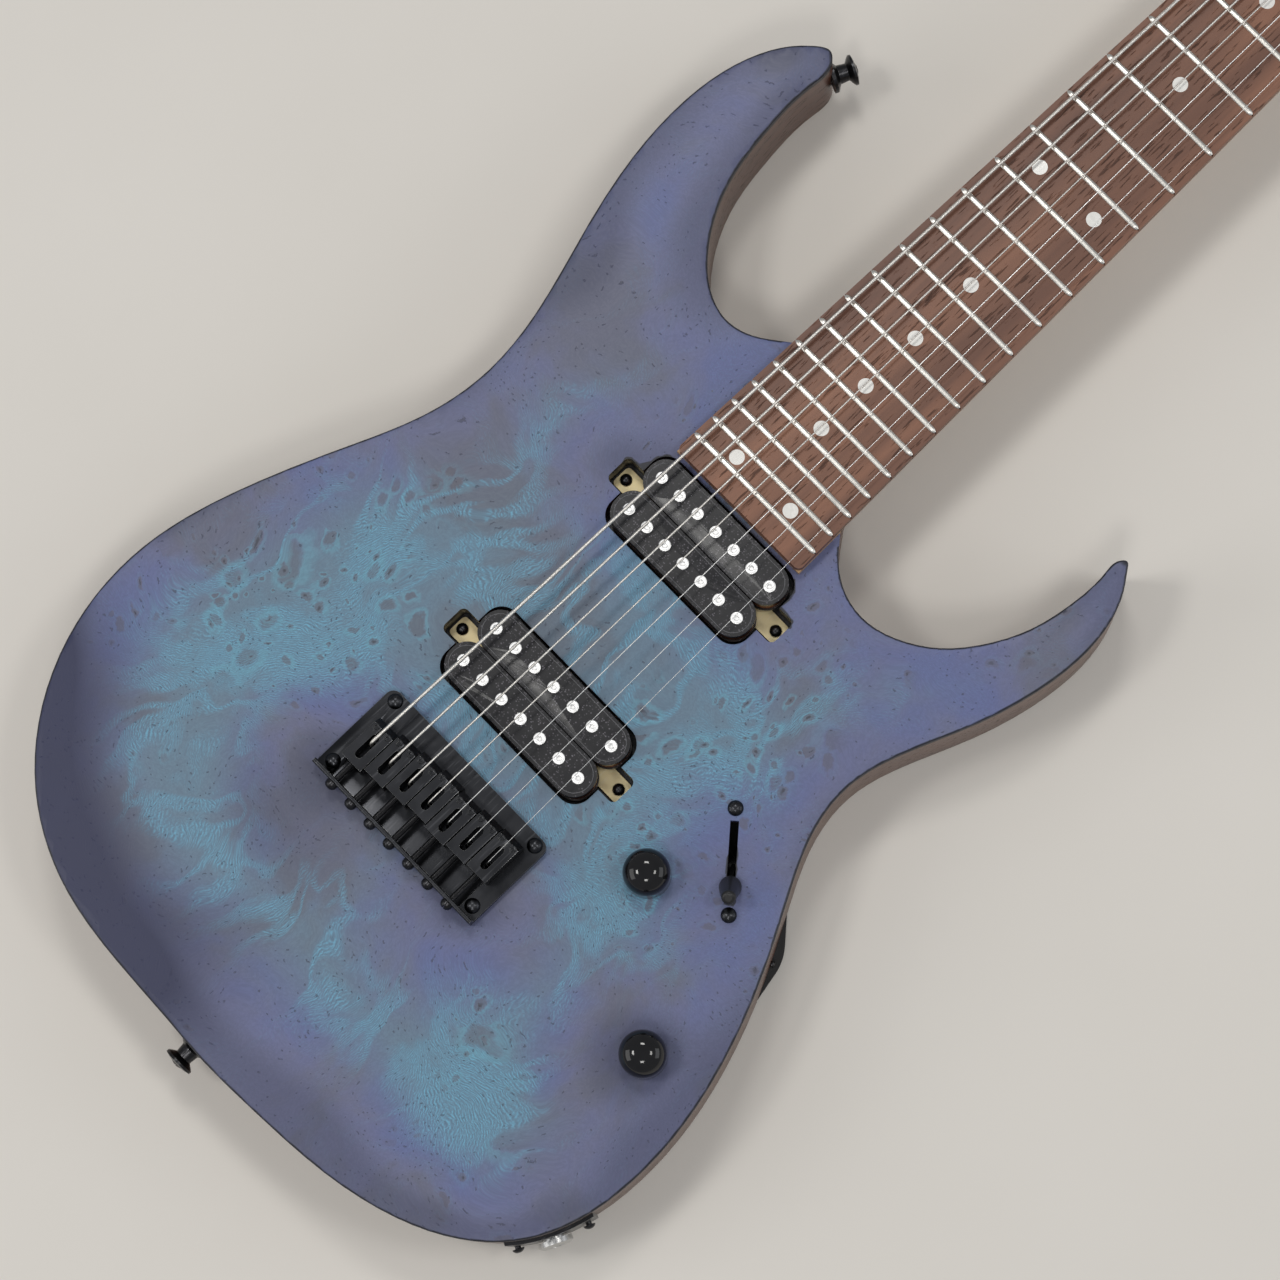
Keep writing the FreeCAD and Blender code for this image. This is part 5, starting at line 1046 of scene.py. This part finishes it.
tune_head = [(0, 3.2 * MM), (0.9 * MM, 3.1 * MM), (1.7 * MM, 2.75 * MM), (2.3 * MM, 2.1 * MM),
             (2.55 * MM, 1.3 * MM), (2.6 * MM, 0.2 * MM), (2.45 * MM, 0.0), (0, 0.0)]
TUNE_HEAD_TALL = 3.4 * MM
BACKWARDS = (-1, 0, 0)
for number in range(1, STRINGS + 1):
    node = f"intonation_screw_{number}"
    low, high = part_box(node)
    middle = (low.y + high.y) / 2
    centre = (low.z + high.z) / 2
    seat = low.x + TUNE_HEAD_TALL
    head = to_mesh("head", lathe(tune_head))
    slot = to_mesh("slot", bar((-0.35 * MM, -4 * MM, 2.0 * MM), (0.35 * MM, 4 * MM, 5 * MM)))
    head = cut_by(head, slot)
    shape = bmesh.new()
    shape.from_mesh(head)
    moved(shape, (seat - 0.2 * MM, middle, centre), BACKWARDS, number * 0.9)
    head = to_mesh("head", shape)
    shank = threaded(1.46 * MM, high.x - seat + 0.1 * MM, 0.22 * MM)
    shank = to_mesh("shank", moved(shank, (seat - 0.1 * MM, middle, centre), BACKWARDS), 70)
    show(f"tuning_screw_{number}", together(node, head, shank), black_plate,
         f"intonation_{number}", [node])


# ---- Screws with a cross recess ----
# Domed black screws hold the bridge, the selector, the pickups, the covers,
# the jack plate and the tuners. Each is turned to where it was driven home.

def screw_places(node):
    """Top of the head, outward way and head radius of each screw of a node."""
    found = []
    shape = merged_copy(node)
    for verts in islands(shape):
        points = numpy.array([vert.co for vert in verts])
        centre = points.mean(0)
        way = numpy.linalg.svd(points - centre)[2][0]
        along = (points - centre) @ way
        aside = numpy.linalg.norm(points - centre - along[:, None] * way, axis=1)
        if along[aside.argmax()] < 0:
            way = -way
            along = -along
        top_at = centre + way * along.max()
        tip = points[along < along.min() + 0.5 * MM].mean(0)
        head = points[along > along.max() - 1.5 * MM].mean(0)
        way = Vector(head - tip).normalized()
        found.append((Vector(tip) + way * (Vector(top_at) - Vector(tip)).dot(way), way,
                      float(aside.max())))
    shape.free()
    return sorted(found, key=lambda item: tuple(round(part, 5) for part in item[0]))


# a screw whose head has a radius of one
screw = lathe([(0, 0), (0.30, -0.03), (0.60, -0.14), (0.82, -0.30), (0.95, -0.46),
               (1.0, -0.60), (0.97, -0.68), (0.48, -0.68), (0.48, -2.6), (0.30, -3.2),
               (0, -3.3)], 32)
arms = bmesh.new()
for low_corner, high_corner in (((-0.55, -0.12, -0.40), (0.55, 0.12, 0.4)),
                                ((-0.12, -0.55, -0.40), (0.12, 0.55, 0.4))):
    bmesh.ops.create_cube(arms, size=1, matrix=Matrix.LocRotScale(
        [(a + b) / 2 for a, b in zip(low_corner, high_corner)], None,
        [b - a for a, b in zip(low_corner, high_corner)]))
cross_screw = cut_by(to_mesh("screw", screw), to_mesh("arms", arms))


def set_screws(name, node, finish, seed):
    """A cross-recess screw in place of each plain one of a node."""
    shape = bmesh.new()
    shape.from_mesh(cross_screw)
    show(name, set_copies(name, shape, screw_places(node), finish, seed), finish,
         instead_of=[node])


set_screws("plate_and_selector_screws", "top_screws", black_chrome, 3)
set_screws("cover_and_tuner_screws", "small_screws", black_plate, 4)
set_screws("pickup_ear_screws", "pickup_screws", black_plate, 5)
dress(black_plate, "neck_screws")


# ---- Controls ----
# Two polished black knobs are pressed on the shafts of their potentiometers,
# and a lever selector works in a slot. All of it hangs in the cavity below.

dress(plated_steel, "pots", "selector_frame")
knob_gloss, tree, shader, place = material("knob_gloss", (0.006, 0.006, 0.007), 0.06,
                                           Specular_IOR_Level=0.42)
touched = noise(tree, place, 160.0, 4.0, 0.6, 0.6).outputs[0]
surface(tree, shader, blended(tree, touched, (0.004, 0.004, 0.005), (0.011, 0.011, 0.012)),
        fade(tree, touched, 0.35, 0.75, 0.03, 0.09))
dress(knob_gloss, "volume_knob", "tone_knob")
dress(black_moulding, "selector_lever")
show("cavity_cover", softened("control_cover", 0.4 * MM), black_moulding,
     instead_of=["control_cover"])


# ---- Output jack and strap buttons ----
# A curved black plate on the lower edge holds the steel plug socket. Two
# turned black buttons for the strap are screwed to the tail and the long horn.

show("jack_shield", softened("jack_plate", 0.25 * MM), black_plate,
     instead_of=["jack_plate"])
dress(plated_steel, "jack_socket")
dress(black_plate, "strap_buttons")


# ---- Tuners ----
# Seven sealed black machine heads: a housing under the headstock, a threaded
# bushing with a washer above it, a post, and a button on the worm's shaft.

dress(black_plate, "tuner_housings", "tuner_bushings")
for number in range(1, STRINGS + 1):
    dress(black_plate, f"tuner_post_{number}", f"tuner_button_{number}")


# ---- Strings ----
# Four strings wound with nickel wire and three of plain steel. Each is held
# by a ball in the back, bends over its saddle and winds round its post.

STRING_SIZES = [1.50 * MM, 1.17 * MM, 0.91 * MM, 0.66 * MM, 0.43 * MM, 0.33 * MM, 0.25 * MM]
WOUND = 4
SADDLE_PITCH = 10.8 * MM
NUT_PITCH = 6.85 * MM
STRING_HOLE_X = -14 * MM
BODY_TOP = 45 * MM
STRING_RISE = 13 * MM
FRET_TALL = 1.1 * MM
BALL_Z = 6.1 * MM
WRAP_HEIGHT = 7.4 * MM
POST_WAIST = 2.6 * MM
SIDES = 12
joints = {joint["name"]: joint for joint in frame["joints"]}


def string_y(rank, x):
    """How far a string lies from the middle, that far from the saddle line."""
    return (3 - rank) * (SADDLE_PITCH + (NUT_PITCH - SADDLE_PITCH) * x / SCALE_LONG)


def round_corner(before, corner, after, radius, steps):
    """Points of the arc that takes a path round a corner."""
    into = (corner - before).normalized()
    out = (after - corner).normalized()
    turn = into.angle(out)
    back = radius * math.tan(turn / 2)
    centre = corner - into * back + (out - into * into.dot(out)).normalized() * radius
    axis = into.cross(out).normalized()
    first = corner - into * back - centre
    return [centre + Matrix.Rotation(turn * step / steps, 3, axis) @ first
            for step in range(steps + 1)]


def string_path(rank):
    """Points of a string from its ball to its last turn, and its radius."""
    radius = STRING_SIZES[rank] / 2
    x = STRING_HOLE_X

    def drop(y):
        return BOARD_ROUND - math.sqrt(BOARD_ROUND ** 2 - y ** 2)

    bridge_z = BODY_TOP + STRING_RISE - drop(string_y(rank, 0)) + radius
    nut_z = BOARD_TOP - drop(string_y(rank, SCALE_LONG)) + FRET_TALL + 0.5 * MM + radius

    def on_line(at_x):
        return Vector((at_x, string_y(rank, at_x),
                       bridge_z + (nut_z - bridge_z) * at_x / SCALE_LONG))

    nut_end = on_line(SCALE_LONG + 4.5 * MM)
    post = joints[f"tuner_{rank + 1}_post"]
    axis = Vector(post["axis"]).normalized()
    side = 1 if rank < WOUND else -1
    hub_at = Vector(post["pos_m"]) + axis * WRAP_HEIGHT
    reach = POST_WAIST + 0.3 * MM + radius
    touch = hub_at
    for _ in range(4):
        ahead = (touch - nut_end).normalized()
        inward = axis.cross(ahead).normalized() * side
        touch = hub_at - inward * reach
    start_at = Vector((x, string_y(rank, x), BALL_Z))
    top_at = on_line(x)
    points = [start_at, start_at.lerp(top_at, 0.5)]
    points += round_corner(start_at, top_at, nut_end, 2.5 * MM, 10)
    for step in range(1, 40):
        points.append(on_line(x + 8 * MM + (SCALE_LONG - x - 12 * MM) * step / 40))
    points += round_corner(on_line(SCALE_LONG - 8 * MM), nut_end, touch, 10 * MM, 6)
    # a string that winds the other way round keeps clear of its own turns
    turns = 2.6 if radius > 0.4 * MM else 4.2
    fall = 2 * radius + 0.05 * MM
    steps = int(turns * 28)
    for step in range(steps + 1):
        turn = 2 * math.pi * turns * step / steps
        lower = fall * max(0.0, turns * step / steps - 0.25)
        points.append(hub_at + (-inward * math.cos(turn) + ahead * math.sin(turn)) * reach
                      - axis * lower)
    return points, radius


def tube(name, points, radius, sides=SIDES):
    """A round tube along points, which carries how far along it each ring is."""
    shape = bmesh.new()
    rings = []
    runs = []
    run = 0.0
    side_way = Vector((0, 1, 0))
    for index, point in enumerate(points):
        before = points[max(0, index - 1)]
        after = points[min(len(points) - 1, index + 1)]
        ahead = (after - before).normalized()
        side_way = (side_way - ahead * side_way.dot(ahead)).normalized()
        up_way = ahead.cross(side_way)
        run += (point - before).length
        ring = []
        for step in range(sides):
            turn = 2 * math.pi * step / sides
            ring.append(shape.verts.new(point + (side_way * math.cos(turn)
                                                 + up_way * math.sin(turn)) * radius))
            runs.append(run)
        rings.append(ring)
    for lower, upper in zip(rings, rings[1:]):
        for step in range(sides):
            after = (step + 1) % sides
            shape.faces.new([lower[step], lower[after], upper[after], upper[step]])
    shape.faces.new(rings[0][::-1])
    shape.faces.new(rings[-1])
    bmesh.ops.recalc_face_normals(shape, faces=shape.faces)
    mesh = to_mesh(name, shape, 50)
    mesh.attributes.new("run", "FLOAT", "POINT").data.foreach_set("value", runs)
    return mesh


def string_metal(name, dark, pale, roughness, pitch=None):
    """Polished wire, or wire wound with that pitch, with painted shade in the grooves between its
    turns.
    """
    made, tree, shader, place = material(name, pale, roughness, 1.0)
    marks = placed(tree, metal_marks, Place=place, Scale=140.0, Amount=0.2)
    tone = blended(tree, marks["Smudge"], dark, pale)
    if pitch:
        run = add(tree, "ShaderNodeAttribute", attribute_name="run").outputs["Fac"]
        wave = calc(tree, "SINE", times(tree, run, math.pi / pitch))
        ridge = calc(tree, "ABSOLUTE", wave)
        # painted shade: the grooves between the turns of the winding are darkened
        tone = blended(tree, fade(tree, ridge, 0.45, 0.0), tone, (0.12, 0.11, 0.10))
        raised(tree, shader, ridge, 0.00006, 0.7)
    surface(tree, shader, tone,
            fade(tree, marks["Smudge"], 0.3, 0.7, roughness - 0.05, roughness + 0.08))
    return made


WINDING_PITCH = 0.32 * MM
plain_steel = string_metal("string_plain_steel", (0.80, 0.80, 0.79), (0.95, 0.95, 0.93), 0.34)
wound_nickel = string_metal("string_wound_nickel", (0.74, 0.71, 0.66), (0.94, 0.91, 0.86),
                            0.38, WINDING_PITCH)
for finish, ranks, name in ((wound_nickel, range(WOUND), "wound_strings"),
                            (plain_steel, range(WOUND, STRINGS), "plain_strings")):
    meshes = []
    for rank in ranks:
        points, radius = string_path(rank)
        meshes.append(tube("string", points, radius))
        ball = bmesh.new()
        bmesh.ops.create_uvsphere(ball, u_segments=20, v_segments=12, radius=1.9 * MM)
        bmesh.ops.translate(ball, vec=points[0], verts=ball.verts)
        meshes.append(to_mesh("ball", ball))
    show(name, together(name, *meshes), finish, instead_of=["strings"])


# ---- Leads ----
# Grey screened leads join the pickups, the selector, the potentiometers and
# the jack inside the cavity, with one small capacitor on the tone control.

lead_grey, tree, shader, place = material("lead_grey", (0.30, 0.30, 0.31), 0.6)
braid = add(tree, "ShaderNodeTexVoronoi", {"Vector": place, "Scale": 1500.0}).outputs["Distance"]
surface(tree, shader, blended(tree, braid, (0.20, 0.20, 0.21), (0.38, 0.38, 0.39)),
        fade(tree, braid, 0.0, 0.6, 0.5, 0.7))
dress(lead_grey, "wiring")
